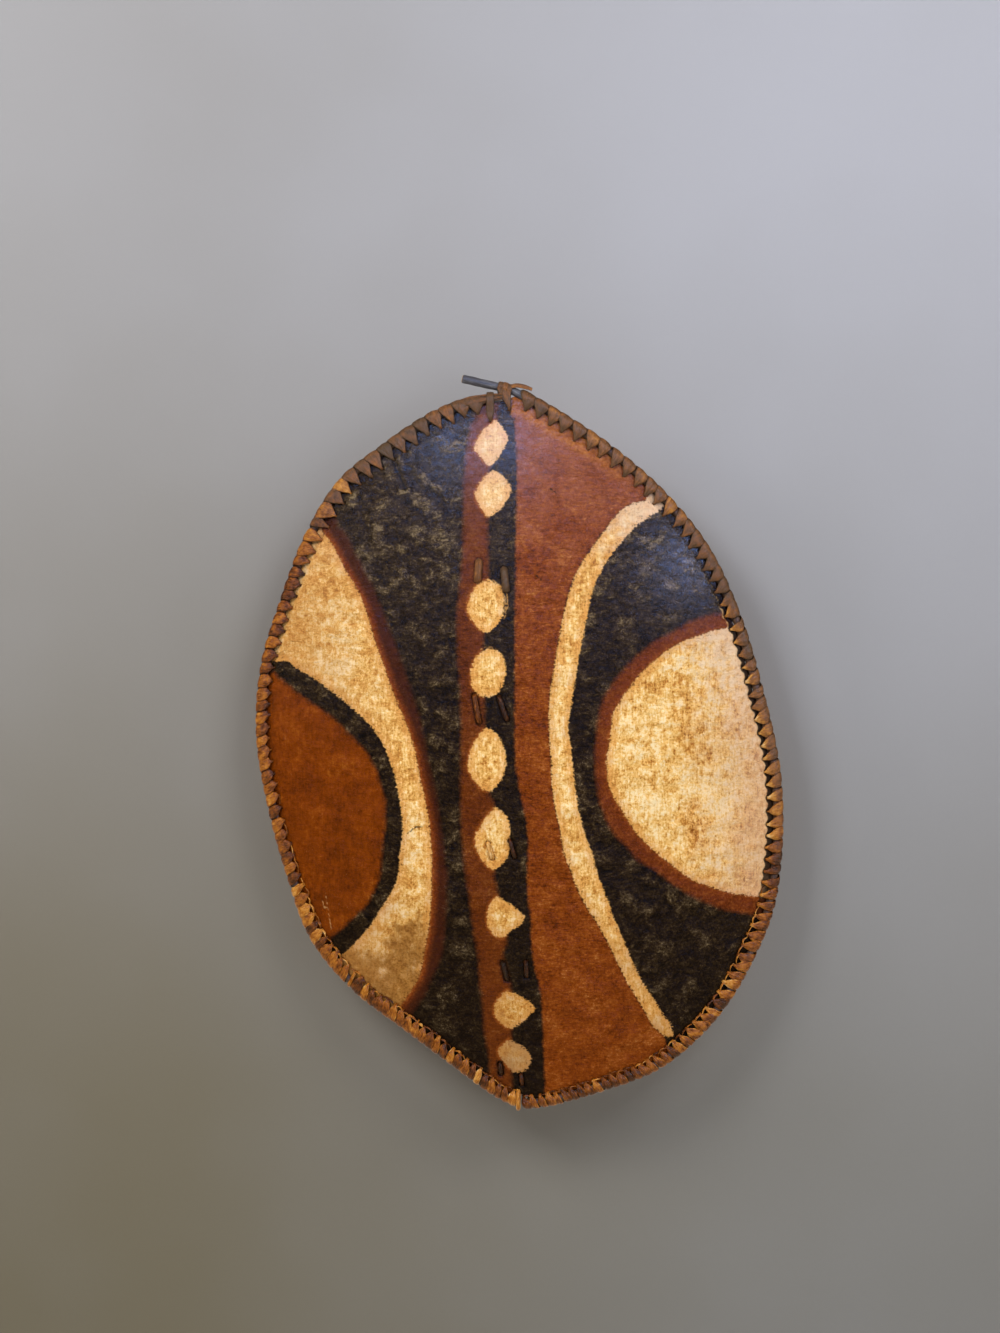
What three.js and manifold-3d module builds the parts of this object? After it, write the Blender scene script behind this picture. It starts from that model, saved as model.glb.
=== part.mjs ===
import * as THREE from 'three';
import loadManifold from 'manifold-3d';

// A hide shield: a dished plate of rawhide, laced to two bent rods at its rim and lashed to a
// wooden stave at its back, whose middle bows clear of the hide as the hand grip.
// Millimetres, +Z up, painted front towards -Y, +X to the right when seen from the front.
// The origin is the middle of the hand grip.

// The laced rim, seen from the front
const shieldWidth = 519;
const shieldHeight = 695;
const middleRightOfGrip = 23;
const middleAboveGrip = 28;

// The dish: how far the sides and the ends lie behind the middle of the hide
const sideBow = 42;
const endBow = 18;
const cornerCurl = 10;
const curlStartShare = 0.5;

// The rawhide plate
const hideThickness = 3.5;
const edgeBandShare = 0.93;
const hideRingShares = [0.8, 0.64, 0.48, 0.32, 0.16];
const hideRingCounts = [48, 48, 36, 24, 12];

// The two rim rods
const rodDiameter = 7.6;
const rodSides = 8;
const freeEndLength = 84;

// The hand grip and the stave that it is part of
const handGap = 36;
const gripDiameter = 19;
const staveHeadDiameter = 14;
const staveFootDiameter = 12;
const gripHalfLength = 28;
const bowHalfLength = 47;
const gripBend = 22;
const bowBend = 12;
const staveHeadBelowRim = 12.4;
const staveFootAboveRim = 21.5;
const staveStep = 26;
const staveSides = 12;
const bendSteps = 4;
const searchRounds = 40;

// The flat rawhide strip that laces the hide to the rods
const lacingPitch = 19;
const stripThickness = 1.6;
const stripWidth = 13;
const stripPinch = 4.6;
const holeInset = 11;
const tipRun = 2.6;
const leftLacingStart = 52;
const leftLacingStop = 40;
const rightLacingStart = 30;

// The twisted thongs that lash the stave
const thongDiameter = 5.2;
const thongSides = 5;
const arcParts = 5;
const overlapSteps = 3;
const upperStitchLength = 15;
const gripStitchLength = 21;
const lowerStitchLength = 13;
const footStitchLength = 9;
const tieHoleAboveRod = 13;
const stitchPastBow = 12.5;
const upperStitchDrop = 8.6;
const footLashingDrop = 9.6;
const footLashingInset = 19;
const headLashingInset = 12;

// Clearances. The flat facets of the curved hide lie up to facetEase behind its true surface.
const seatGap = 0.3;
const facetEase = 0.2;
const holeEase = 0.6;
const turnGap = 0.6;
const lashingSlack = 1;
const cutOverrun = 6;

// Sizes that follow from the ones above
const rodRadius = rodDiameter / 2;
const thongRadius = thongDiameter / 2;
const halfHide = hideThickness / 2;
const halfStrip = stripThickness / 2;
const wrapRadius = (rodRadius + seatGap + halfStrip) / Math.cos(Math.PI / 8);
const bindingReach = wrapRadius + halfStrip;
const halfWidth = shieldWidth / 2 - bindingReach;
const halfHeight = shieldHeight / 2 - bindingReach;
const gripRadius = gripDiameter / 2;
const hideEdgeInset = rodRadius + seatGap;
const tipRise = halfHide + seatGap + stripThickness;

// Centre lines of the rods from foot to crown, as shares of the half width and half height
// inside the lacing, from the middle of the shield. The right rod runs on past the crown.
const leftRodShares = [
  [-0.01, -0.993], [-0.085, -0.965], [-0.235, -0.885], [-0.43, -0.78], [-0.635, -0.67],
  [-0.79, -0.535], [-0.88, -0.36], [-0.96, -0.145], [-1, 0.05], [-0.98, 0.245],
  [-0.905, 0.425], [-0.805, 0.615], [-0.675, 0.765], [-0.52, 0.855], [-0.335, 0.945],
  [-0.2, 0.985], [-0.07, 1],
];
const rightRodShares = [
  [0.013, -1], [0.11, -0.99], [0.31, -0.95], [0.52, -0.895], [0.675, -0.81],
  [0.795, -0.71], [0.905, -0.57], [0.97, -0.445], [1, -0.265], [0.99, -0.06],
  [0.925, 0.155], [0.84, 0.365], [0.715, 0.565], [0.54, 0.725], [0.325, 0.86],
  [0.14, 0.95], [0.065, 0.983], [-0.03, 1.022], [-0.15, 1.045], [-0.22, 1.058],
];
const footCornerShare = [0.003, -0.97];
const crownCornerShare = [-0.027, 0.983];

// The stave's line between its head and its foot, as shares of the half width and half height,
// from the grip
const staveLineShares = [
  [-0.015, 0.58], [-0.023, 0.2], [0, 0], [0.022, -0.19], [0.074, -0.52],
];
const staveHeadAcrossShare = 0.012;
const staveFootAcrossShare = 0.06;
const staveHead = middleAboveGrip + halfHeight - staveHeadBelowRim;
const staveFoot = middleAboveGrip - halfHeight + staveFootAboveRim;

// Heights of the paired stitches' left sides above the grip. The right side may sit lower by a
// drop.
const upperStitchShare = 0.59;
const lowerStitchShare = -0.533;
const pairedStitches = [
  {
    name: 'stave_thong_upper',
    height: upperStitchShare * halfHeight,
    drop: upperStitchDrop,
    length: upperStitchLength,
  },
  {
    name: 'stave_thong_above_grip',
    height: bowHalfLength + stitchPastBow + gripStitchLength / 2,
    drop: 0,
    length: gripStitchLength,
  },
  {
    name: 'stave_thong_below_grip',
    height: -(bowHalfLength + stitchPastBow + lowerStitchLength / 2),
    drop: 0,
    length: lowerStitchLength,
  },
  {
    name: 'stave_thong_lower',
    height: lowerStitchShare * halfHeight,
    drop: 0,
    length: lowerStitchLength,
  },
  {
    name: 'foot_lashing',
    height: staveFoot + footLashingInset,
    drop: footLashingDrop,
    length: footStitchLength,
  },
];

const lacingNames = ['foot', 'lower', 'middle', 'shoulder', 'crown'];

// One turn of the lacing: places outward and back from the rod's axis, the share of the pitch
// that it has moved on, the width there, and which way the strip's outer face looks
const wrapSlant = wrapRadius * Math.SQRT1_2;
const backWidth = (stripWidth + stripPinch) / 2;
const lacingTurn = [
  { out: -holeInset, back: 0, onShare: 0, width: stripPinch, face: [-1, 0] },
  { out: tipRun - holeInset, back: -tipRise, onShare: 0, width: stripPinch, face: [-0.5, -1] },
  { out: 0, back: -wrapRadius, onShare: 0.04, width: stripWidth, face: [0, -1] },
  { out: wrapSlant, back: -wrapSlant, onShare: 0.14, width: stripWidth, face: [1, -1] },
  { out: wrapRadius, back: 0, onShare: 0.3, width: stripWidth, face: [1, 0] },
  { out: wrapSlant, back: wrapSlant, onShare: 0.5, width: stripWidth, face: [1, 1] },
  { out: 0, back: wrapRadius, onShare: 0.75, width: backWidth, face: [0, 1] },
  { out: tipRun - holeInset, back: tipRise, onShare: 0.97, width: stripPinch, face: [-0.5, 1] },
];
const lacingStart = {
  out: (tipRun - holeInset) / 2, back: (wrapRadius + tipRise) / 2, onShare: -0.14,
  width: stripPinch, face: [-0.2, 1],
};

const materials = {
  hide: new THREE.MeshStandardMaterial({ color: 0x8a5a34, roughness: 0.6, metalness: 0 }),
  wood: new THREE.MeshStandardMaterial({ color: 0x6f5844, roughness: 0.8, metalness: 0 }),
  lacing: new THREE.MeshStandardMaterial({ color: 0x7d5230, roughness: 0.5, metalness: 0 }),
  thong: new THREE.MeshStandardMaterial({ color: 0x5a3d28, roughness: 0.7, metalness: 0 }),
};

const wasm = await loadManifold();
wasm.setup();

// The hide's middle surface

function bowAt(x, z) {
  const across = (x - middleRightOfGrip) / halfWidth;
  const up = (z - middleAboveGrip) / halfHeight;
  const towardsCorner = (-across - up) * Math.SQRT1_2;
  const curl = Math.max(0, (towardsCorner - curlStartShare) / (1 - curlStartShare));
  return sideBow * across ** 2 + endBow * up ** 2 + cornerCurl * curl ** 2;
}

const hideAtGrip = -(gripRadius + handGap + halfHide);

function hideDepth(x, z) {
  return hideAtGrip + bowAt(x, z) - bowAt(0, 0);
}

function hideNormal(x, z) {
  const probe = hideThickness;
  const slopeX = (hideDepth(x + probe, z) - hideDepth(x - probe, z)) / (2 * probe);
  const slopeZ = (hideDepth(x, z + probe) - hideDepth(x, z - probe)) / (2 * probe);
  return new THREE.Vector3(-slopeX, 1, -slopeZ).normalize();
}

function onHide(x, z, back = 0) {
  const point = new THREE.Vector3(x, hideDepth(x, z), z);
  return point.addScaledVector(hideNormal(x, z), back);
}

function fromMiddle([acrossShare, upShare]) {
  return [middleRightOfGrip + acrossShare * halfWidth, middleAboveGrip + upShare * halfHeight];
}

// Closed solids from rings of points

function signedVolume(points, faces) {
  const cross = new THREE.Vector3();
  let volume = 0;
  for (const [a, b, c] of faces) {
    cross.crossVectors(points[b], points[c]);
    volume += points[a].dot(cross) / 6;
  }
  return volume;
}

function closedGeometry(points, faces) {
  const inward = signedVolume(points, faces) < 0;
  const index = faces.flatMap(([a, b, c]) => (inward ? [a, c, b] : [a, b, c]));
  const geometry = new THREE.BufferGeometry();
  const positions = points.flatMap((point) => point.toArray());
  geometry.setAttribute('position', new THREE.Float32BufferAttribute(positions, 3));
  geometry.setIndex(index);
  return geometry;
}

function loftRings(rings) {
  const sides = rings[0].length;
  const points = rings.flat();
  const faces = [];
  for (let ring = 0; ring + 1 < rings.length; ring += 1) {
    for (let side = 0; side < sides; side += 1) {
      const a = ring * sides + side;
      const b = ring * sides + (side + 1) % sides;
      faces.push([a, b, b + sides], [a, b + sides, a + sides]);
    }
  }
  const last = (rings.length - 1) * sides;
  for (let side = 1; side + 1 < sides; side += 1) {
    faces.push([0, side + 1, side], [last, last + side, last + side + 1]);
  }
  return closedGeometry(points, faces);
}

function pathTangent(path, index) {
  const before = path[Math.max(index - 1, 0)];
  const after = path[Math.min(index + 1, path.length - 1)];
  return new THREE.Vector3().subVectors(after, before).normalize();
}

// A round tube through the points of a path, without twist
function tubeRings(path, radii, sides, firstNormal) {
  const normal = firstNormal.clone();
  const binormal = new THREE.Vector3();
  return path.map((point, index) => {
    const tangent = pathTangent(path, index);
    normal.addScaledVector(tangent, -normal.dot(tangent)).normalize();
    binormal.crossVectors(tangent, normal);
    const ring = [];
    for (let side = 0; side < sides; side += 1) {
      const angle = (side + 0.5) * 2 * Math.PI / sides;
      ring.push(point.clone()
        .addScaledVector(normal, radii[index] * Math.cos(angle))
        .addScaledVector(binormal, radii[index] * Math.sin(angle)));
    }
    return ring;
  });
}

// The least gap between far stretches of one wound piece, measured on its points
function leastSelfGap(rings, apart) {
  let least = Infinity;
  for (let first = 0; first < rings.length; first += 1) {
    for (let second = first + apart; second < rings.length; second += 1) {
      for (const a of rings[first]) {
        for (const b of rings[second]) {
          least = Math.min(least, a.distanceTo(b));
        }
      }
    }
  }
  return least;
}

function reportSelfGap(name, rings, apart) {
  console.log(`${name}: least gap to itself ${leastSelfGap(rings, apart).toFixed(2)} mm`);
}

function namedMesh(name, geometry, material) {
  const mesh = new THREE.Mesh(geometry, material);
  mesh.name = name;
  return mesh;
}

// The rim rods

function makeRod(side, shares) {
  const points = shares.map((share) => {
    const [x, z] = fromMiddle(share);
    return new THREE.Vector3(x, hideDepth(x, z), z);
  });
  const curve = new THREE.CatmullRomCurve3(points, false, 'centripetal');
  curve.arcLengthDivisions = shares.length * staveStep;
  return { side, curve, length: curve.getLength() };
}

const leftRod = makeRod(-1, leftRodShares);
const rightRod = makeRod(1, rightRodShares);
leftRod.lacing = { from: leftLacingStart, to: leftRod.length - leftLacingStop };
rightRod.lacing = { from: rightLacingStart, to: rightRod.length - freeEndLength };
leftRod.hideEnd = leftRod.length - hideEdgeInset * 2;
rightRod.hideEnd = rightRod.length - freeEndLength;

// Where along a rod its lacing turns pass through the hide
function turnPlaces(rod) {
  const turns = Math.floor((rod.lacing.to - rod.lacing.from) / lacingPitch) + 1;
  return Array.from({ length: turns }, (_, turn) => rod.lacing.from + turn * lacingPitch);
}

// Places one pitch apart over the whole rod, midway between the turns of the lacing
function rodPlaces(rod) {
  const places = [0];
  const first = (rod.lacing.from + lacingPitch / 2) % lacingPitch;
  for (let place = first; place < rod.length; place += lacingPitch) {
    if (place > rodDiameter && place < rod.length - rodDiameter) {
      places.push(place);
    }
  }
  places.push(rod.length);
  return places;
}

// The frame of the rim at a place: along the rod, out from the hide, and to the back
function rimFrame(rod, place) {
  const share = Math.min(Math.max(place / rod.length, 0), 1);
  const point = rod.curve.getPointAt(share);
  const along = rod.curve.getTangentAt(share);
  const back = hideNormal(point.x, point.z);
  back.addScaledVector(along, -back.dot(along)).normalize();
  const out = new THREE.Vector3().crossVectors(back, along).multiplyScalar(rod.side);
  return { point, along, back, out };
}

function inFrame(frame, out, back) {
  return frame.point.clone().addScaledVector(frame.out, out).addScaledVector(frame.back, back);
}

function rimRod(name, rod) {
  const path = rodPlaces(rod).map((place) => rimFrame(rod, place).point);
  const radii = path.map(() => rodRadius);
  const rings = tubeRings(path, radii, rodSides, rimFrame(rod, 0).back);
  return namedMesh(name, loftRings(rings), materials.wood);
}

// The lacing: one flat strip per length, wound round the rod and through the hide

// The strip's section lies along the rod all the way, so the strip shears as it moves on. It
// moves on towards the crown on the right rod and towards the foot on the left one.
function stripRing(rod, place, step) {
  const frame = rimFrame(rod, place + rod.side * step.onShare * lacingPitch);
  const point = inFrame(frame, step.out, step.back);
  const face = new THREE.Vector3()
    .addScaledVector(frame.out, step.face[0])
    .addScaledVector(frame.back, step.face[1])
    .normalize();
  const corners = [[1, 1], [-1, 1], [-1, -1], [1, -1]];
  return corners.map(([sideways, outwards]) => point.clone()
    .addScaledVector(frame.along, sideways * step.width / 2)
    .addScaledVector(face, outwards * halfStrip));
}

function lacingLength(name, rod, places) {
  const lastStep = lacingTurn[lacingTurn.length - 1];
  const rings = [
    stripRing(rod, places[0], lacingStart),
    stripRing(rod, places[0] - rod.side * lacingPitch, lastStep),
  ];
  places.forEach((place, turn) => {
    const steps = turn + 1 < places.length ? lacingTurn : lacingTurn.slice(0, -1);
    rings.push(...steps.map((step) => stripRing(rod, place, step)));
  });
  reportSelfGap(name, rings, lacingTurn.length - 1);
  return namedMesh(name, loftRings(rings), materials.lacing);
}

function lacingLengths(sideName, rod) {
  const places = turnPlaces(rod);
  const perLength = Math.ceil(places.length / lacingNames.length);
  return lacingNames.map((lengthName, part) => {
    const upwards = places.slice(part * perLength, (part + 1) * perLength);
    const inOrder = rod.side > 0 ? upwards : upwards.reverse();
    return lacingLength(`lacing_${sideName}_${lengthName}`, rod, inOrder);
  });
}

// The carrying stave

function staveCentre(z) {
  const knots = [
    [staveHeadAcrossShare * halfWidth, staveHead],
    ...staveLineShares.map(([x, up]) => [x * halfWidth, up * halfHeight]),
    [staveFootAcrossShare * halfWidth, staveFoot],
  ];
  if (z >= knots[0][1]) {
    return knots[0][0];
  }
  for (let knot = 0; knot + 1 < knots.length; knot += 1) {
    const [upperX, upperZ] = knots[knot];
    const [lowerX, lowerZ] = knots[knot + 1];
    if (z >= lowerZ) {
      const share = THREE.MathUtils.smoothstep(upperZ - z, 0, upperZ - lowerZ);
      return THREE.MathUtils.lerp(upperX, lowerX, share);
    }
  }
  return knots[knots.length - 1][0];
}

function staveRadius(z) {
  const above = Math.max(0, z - bowHalfLength) / (staveHead - bowHalfLength);
  const below = Math.max(0, -z - bowHalfLength) / (-staveFoot - bowHalfLength);
  const headTaper = (gripDiameter - staveHeadDiameter) / 2;
  const footTaper = (gripDiameter - staveFootDiameter) / 2;
  return gripRadius - headTaper * above ** 2 - footTaper * below;
}

// The radius over the corners of the stave's section
function staveReach(z) {
  return staveRadius(z) / Math.cos(Math.PI / staveSides);
}

function staveSeat(z) {
  return hideDepth(staveCentre(z), z) + halfHide + facetEase + seatGap + staveReach(z);
}

// Points on an arc that rounds one corner of a path in the plane of height and depth
function roundedCorner(before, corner, after, bend) {
  const toBefore = before.clone().sub(corner).normalize();
  const toAfter = after.clone().sub(corner).normalize();
  const half = Math.acos(toBefore.dot(toAfter)) / 2;
  const centre = toBefore.clone().add(toAfter).normalize().multiplyScalar(bend / Math.sin(half));
  centre.add(corner);
  const start = toBefore.multiplyScalar(bend / Math.tan(half)).add(corner).sub(centre);
  const end = toAfter.multiplyScalar(bend / Math.tan(half)).add(corner).sub(centre);
  const sweep = Math.PI - 2 * half;
  return Array.from({ length: bendSteps + 1 }, (_, step) => {
    const share = step / bendSteps;
    return centre.clone()
      .addScaledVector(start, Math.sin((1 - share) * sweep) / Math.sin(sweep))
      .addScaledVector(end, Math.sin(share * sweep) / Math.sin(sweep));
  });
}

function seatedRun(from, to) {
  const steps = Math.ceil(Math.abs(to - from) / staveStep);
  return Array.from({ length: steps }, (_, step) => {
    const z = THREE.MathUtils.lerp(from, to, step / steps);
    return new THREE.Vector2(z, staveSeat(z));
  });
}

// Height and depth of the stave's centre line, from its head to its foot
function staveProfile() {
  const upperStart = new THREE.Vector2(bowHalfLength, staveSeat(bowHalfLength));
  const upperEnd = new THREE.Vector2(gripHalfLength, 0);
  const lowerStart = new THREE.Vector2(-gripHalfLength, 0);
  const lowerEnd = new THREE.Vector2(-bowHalfLength, staveSeat(-bowHalfLength));
  const above = new THREE.Vector2(staveHead, upperStart.y);
  const below = new THREE.Vector2(staveFoot, lowerEnd.y);
  const headRun = seatedRun(staveHead, bowHalfLength + bowBend);
  const footRun = seatedRun(staveFoot, -bowHalfLength - bowBend).reverse();
  return [
    ...headRun,
    ...roundedCorner(above, upperStart, upperEnd, bowBend),
    ...roundedCorner(upperStart, upperEnd, lowerStart, gripBend),
    ...roundedCorner(upperEnd, lowerStart, lowerEnd, gripBend),
    ...roundedCorner(lowerStart, lowerEnd, below, bowBend),
    ...footRun,
  ];
}

function carryingStave() {
  const path = staveProfile().map(({ x: z, y }) => new THREE.Vector3(staveCentre(z), y, z));
  const reaches = path.map((point) => staveReach(point.z));
  const rings = tubeRings(path, reaches, staveSides, new THREE.Vector3(0, 1, 0));
  return namedMesh('carrying_stave', loftRings(rings), materials.wood);
}

// The thongs

// How far a thong's centre line stays from the stave's axis, corners of its path included
function lashReach(z) {
  return (staveReach(z) + seatGap + thongRadius) / Math.cos(Math.PI / (2 * arcParts));
}

// Points on the way round the stave's back, from one angle to another, with a rise over the
// end that lies below
function roundStave(zFrom, zTo, fromStep, toStep, lift = () => 0) {
  const steps = Math.abs(toStep - fromStep);
  const points = [];
  for (let step = 0; step <= steps; step += 1) {
    const arcStep = fromStep + Math.sign(toStep - fromStep) * step;
    const angle = arcStep * Math.PI / arcParts;
    const z = THREE.MathUtils.lerp(zFrom, zTo, steps === 0 ? 0 : step / steps);
    const reach = lashReach(z) + lift(arcStep);
    const axis = new THREE.Vector3(staveCentre(z), staveSeat(z), z);
    const sideways = new THREE.Vector3(Math.cos(angle), Math.sin(angle), 0);
    points.push(axis.addScaledVector(sideways, reach));
  }
  return points;
}

// A thong's first end starts this far round the stave, and its second end lies over the first
const firstEndStep = arcParts - overlapSteps;

function endLift(arcStep) {
  return Math.min(arcStep / firstEndStep, 1) * (thongDiameter + turnGap);
}

// The way out of a hole and round its rim, until the thong lies on the hide. side is -1 for
// the front and 1 for the back, heading is 1 for up and -1 for down.
function outOfHole(x, z, side, heading) {
  const bend = thongRadius + seatGap;
  return [0, 1, 2].map((step) => {
    const angle = step * Math.PI / 4;
    const height = z + heading * bend * (1 - Math.cos(angle));
    const back = side * (halfHide + bend * Math.sin(angle));
    return new THREE.Vector3(x, hideDepth(x, height) + back, height);
  });
}

// A stitch on the front from the upper hole to the lower one
function frontStitch(x, upper, lower) {
  return [...outOfHole(x, upper, -1, -1), ...outOfHole(x, lower, -1, 1).reverse()];
}

function thongMesh(name, path) {
  const radii = path.map(() => thongRadius);
  const rings = tubeRings(path, radii, thongSides, new THREE.Vector3(0, 0, 1));
  reportSelfGap(name, rings, arcParts + 1);
  return namedMesh(name, loftRings(rings), materials.thong);
}

// Two stitches side by side on the front, crossing behind the stave between their ends
function pairedStitch({ name, height, drop, length }) {
  const half = length / 2;
  const leftZ = height;
  const rightZ = height - drop;
  const leftX = staveCentre(leftZ) - lashReach(leftZ);
  const rightX = staveCentre(rightZ) + lashReach(rightZ);
  const path = [
    ...roundStave(leftZ + half, leftZ + half, firstEndStep, arcParts),
    ...frontStitch(leftX, leftZ + half, leftZ - half),
    ...roundStave(leftZ - half, rightZ - half, arcParts, 0),
    ...frontStitch(rightX, rightZ + half, rightZ - half).reverse(),
    ...roundStave(rightZ + half, leftZ + half, 0, overlapSteps, endLift),
  ];
  const holes = [
    [leftX, leftZ + half], [leftX, leftZ - half], [rightX, rightZ + half], [rightX, rightZ - half],
  ];
  return { mesh: thongMesh(name, path), holes };
}

// The place on a rod that lies at a given sideways position, near the crown or the foot, and how
// much higher than on a level rod a thong goes over the rod's slope there
function rodPlaceAt(rod, x, from, to) {
  let low = from;
  let high = to;
  const rising = rod.curve.getPointAt(to / rod.length).x > rod.curve.getPointAt(from / rod.length).x;
  for (let round = 0; round < searchRounds; round += 1) {
    const middle = (low + high) / 2;
    const ahead = rod.curve.getPointAt(middle / rod.length).x > x;
    if (ahead === rising) {
      high = middle;
    } else {
      low = middle;
    }
  }
  const point = rod.curve.getPointAt(low / rod.length);
  const tangent = rod.curve.getTangentAt(low / rod.length);
  return { point, slopeRise: Math.hypot(tangent.x, tangent.z) / Math.abs(tangent.x) };
}

// The way over a rod from the front to the back, in a plane of one sideways position.
// sign is 1 for over the top of the rod and -1 for under it.
function overRod(x, { point, slopeRise }, sign) {
  const reach = (rodRadius + seatGap + thongRadius + lashingSlack) / Math.cos(Math.PI / 8);
  return [-2, -1, 0, 1, 2].map((step) => {
    const angle = step * Math.PI / 4;
    return new THREE.Vector3(
      x,
      point.y + reach * Math.sin(angle),
      point.z + sign * reach * slopeRise * Math.cos(angle),
    );
  });
}

// The lashing of the stave's head: over the end of the left rod on one side and over the free
// end of the right rod on the other
function headLashing() {
  const lowZ = staveHead - headLashingInset;
  const highZ = lowZ + thongDiameter + lashingSlack;
  const leftX = staveCentre(lowZ) - lashReach(lowZ);
  const rightX = staveCentre(lowZ) + lashReach(lowZ);
  const leftOver = rodPlaceAt(leftRod, leftX, leftRod.length - leftLacingStop, leftRod.length);
  const rightOver = rodPlaceAt(rightRod, rightX, rightRod.length - freeEndLength, rightRod.length);
  const path = [
    ...roundStave(lowZ, lowZ, firstEndStep, arcParts),
    ...outOfHole(leftX, lowZ, -1, 1),
    ...overRod(leftX, leftOver, 1),
    ...roundStave(highZ, highZ, arcParts, 0),
    ...overRod(rightX, rightOver, 1).reverse(),
    ...outOfHole(rightX, lowZ, -1, 1).reverse(),
    ...roundStave(lowZ, lowZ, 0, overlapSteps, endLift),
  ];
  return { mesh: thongMesh('head_lashing', path), holes: [[leftX, lowZ], [rightX, lowZ]] };
}

// The tie that closes the rim at the foot, round both rods' ends and through the hide's corner
function footTie() {
  const leftEnd = leftRod.curve.getPointAt(0);
  const rightEnd = rightRod.curve.getPointAt(0);
  const middle = leftEnd.clone().add(rightEnd).multiplyScalar(0.5);
  const z = middle.z + tieHoleAboveRod;
  const under = overRod(middle.x, { point: middle, slopeRise: 1 }, -1);
  const overlap = new THREE.Vector3(0, thongDiameter + turnGap, 0);
  const behind = outOfHole(middle.x, z, 1, -1);
  const path = [
    ...under.slice(4),
    ...behind.toReversed(),
    ...outOfHole(middle.x, z, -1, -1),
    ...under.slice(0, 4),
    under[4].clone().add(overlap),
    behind[2].clone().add(overlap),
  ];
  return { mesh: thongMesh('foot_tie', path), holes: [[middle.x, z]] };
}

// The hide

function hideBoundary() {
  const edge = (rod) => rodPlaces(rod)
    .filter((place) => place > hideEdgeInset * 2 && place < rod.hideEnd)
    .map((place) => {
      const point = inFrame(rimFrame(rod, place), -hideEdgeInset, 0);
      return [point.x, point.z];
    });
  return [
    fromMiddle(footCornerShare),
    ...edge(rightRod),
    fromMiddle(crownCornerShare),
    ...edge(leftRod).reverse(),
  ];
}

// Triangles between two closed rings of point numbers that start at the same bearing
function zipRings(outer, inner) {
  const faces = [];
  let a = 0;
  let b = 0;
  while (a < outer.length || b < inner.length) {
    const outerPoint = outer[a % outer.length];
    const innerPoint = inner[b % inner.length];
    const outerFirst = (a + 1) / outer.length <= (b + 1) / inner.length;
    if (b === inner.length || (a < outer.length && outerFirst)) {
      faces.push([outerPoint, outer[(a + 1) % outer.length], innerPoint]);
      a += 1;
    } else {
      faces.push([outerPoint, inner[(b + 1) % inner.length], innerPoint]);
      b += 1;
    }
  }
  return faces;
}

function boundaryAt(boundary, share) {
  const place = share * boundary.length;
  const index = Math.floor(place) % boundary.length;
  const [x, z] = boundary[index];
  const [nextX, nextZ] = boundary[(index + 1) % boundary.length];
  const part = place - Math.floor(place);
  return [THREE.MathUtils.lerp(x, nextX, part), THREE.MathUtils.lerp(z, nextZ, part)];
}

function hidePlate() {
  const boundary = hideBoundary();
  const count = boundary.length;
  const ringShares = [1, edgeBandShare, ...hideRingShares];
  const ringCounts = [count, count, ...hideRingCounts];
  const points = [];
  const faces = [];
  const edges = [];
  for (const back of [-halfHide, halfHide]) {
    const rings = ringShares.map((ringShare, ring) => {
      const ringCount = ringCounts[ring];
      return Array.from({ length: ringCount }, (_, index) => {
        const [x, z] = boundaryAt(boundary, index / ringCount);
        const ringX = middleRightOfGrip + (x - middleRightOfGrip) * ringShare;
        const ringZ = middleAboveGrip + (z - middleAboveGrip) * ringShare;
        points.push(onHide(ringX, ringZ, back));
        return points.length - 1;
      });
    });
    points.push(onHide(middleRightOfGrip, middleAboveGrip, back));
    const middle = points.length - 1;
    const skin = [];
    for (let ring = 0; ring + 1 < rings.length; ring += 1) {
      skin.push(...zipRings(rings[ring], rings[ring + 1]));
    }
    const inmost = rings[rings.length - 1];
    inmost.forEach((point, index) => {
      skin.push([point, inmost[(index + 1) % inmost.length], middle]);
    });
    faces.push(...(back < 0 ? skin : skin.map(([a, b, c]) => [a, c, b])));
    edges.push(rings[0]);
  }
  const [front, rear] = edges;
  for (let index = 0; index < count; index += 1) {
    const next = (index + 1) % count;
    faces.push([front[index], rear[index], front[next]]);
    faces.push([rear[index], rear[next], front[next]]);
  }
  return closedGeometry(points, faces);
}

function toManifold(geometry) {
  const index = geometry.getIndex();
  return new wasm.Manifold(new wasm.Mesh({
    numProp: 3,
    vertProperties: Float32Array.from(geometry.getAttribute('position').array),
    triVerts: Uint32Array.from(index.array),
  }));
}

function fromManifold(solid) {
  const mesh = solid.getMesh();
  const geometry = new THREE.BufferGeometry();
  geometry.setAttribute('position', new THREE.BufferAttribute(mesh.vertProperties, 3));
  geometry.setIndex(new THREE.BufferAttribute(mesh.triVerts, 1));
  return geometry;
}

// A straight cutter as a loft of one section, moved along a direction
function prism(section, direction, reach) {
  const shift = direction.clone().multiplyScalar(reach);
  return loftRings([
    section.map((point) => point.clone().sub(shift)),
    section.map((point) => point.clone().add(shift)),
  ]);
}

function lacingHole(rod, place) {
  const frame = rimFrame(rod, place);
  const slant = Math.hypot(tipRun, tipRise) / tipRise;
  const outwards = tipRun * halfHide / tipRise + halfStrip * slant + holeEase;
  const inwards = halfStrip + seatGap;
  const sideways = stripPinch / 2 + holeEase;
  const corners = [
    [outwards, sideways], [outwards, -sideways], [-inwards, -sideways], [-inwards, sideways],
  ];
  const section = corners.map(([out, along]) => inFrame(frame, out - holeInset, 0)
    .addScaledVector(frame.along, along));
  return prism(section, frame.back, cutOverrun);
}

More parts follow.
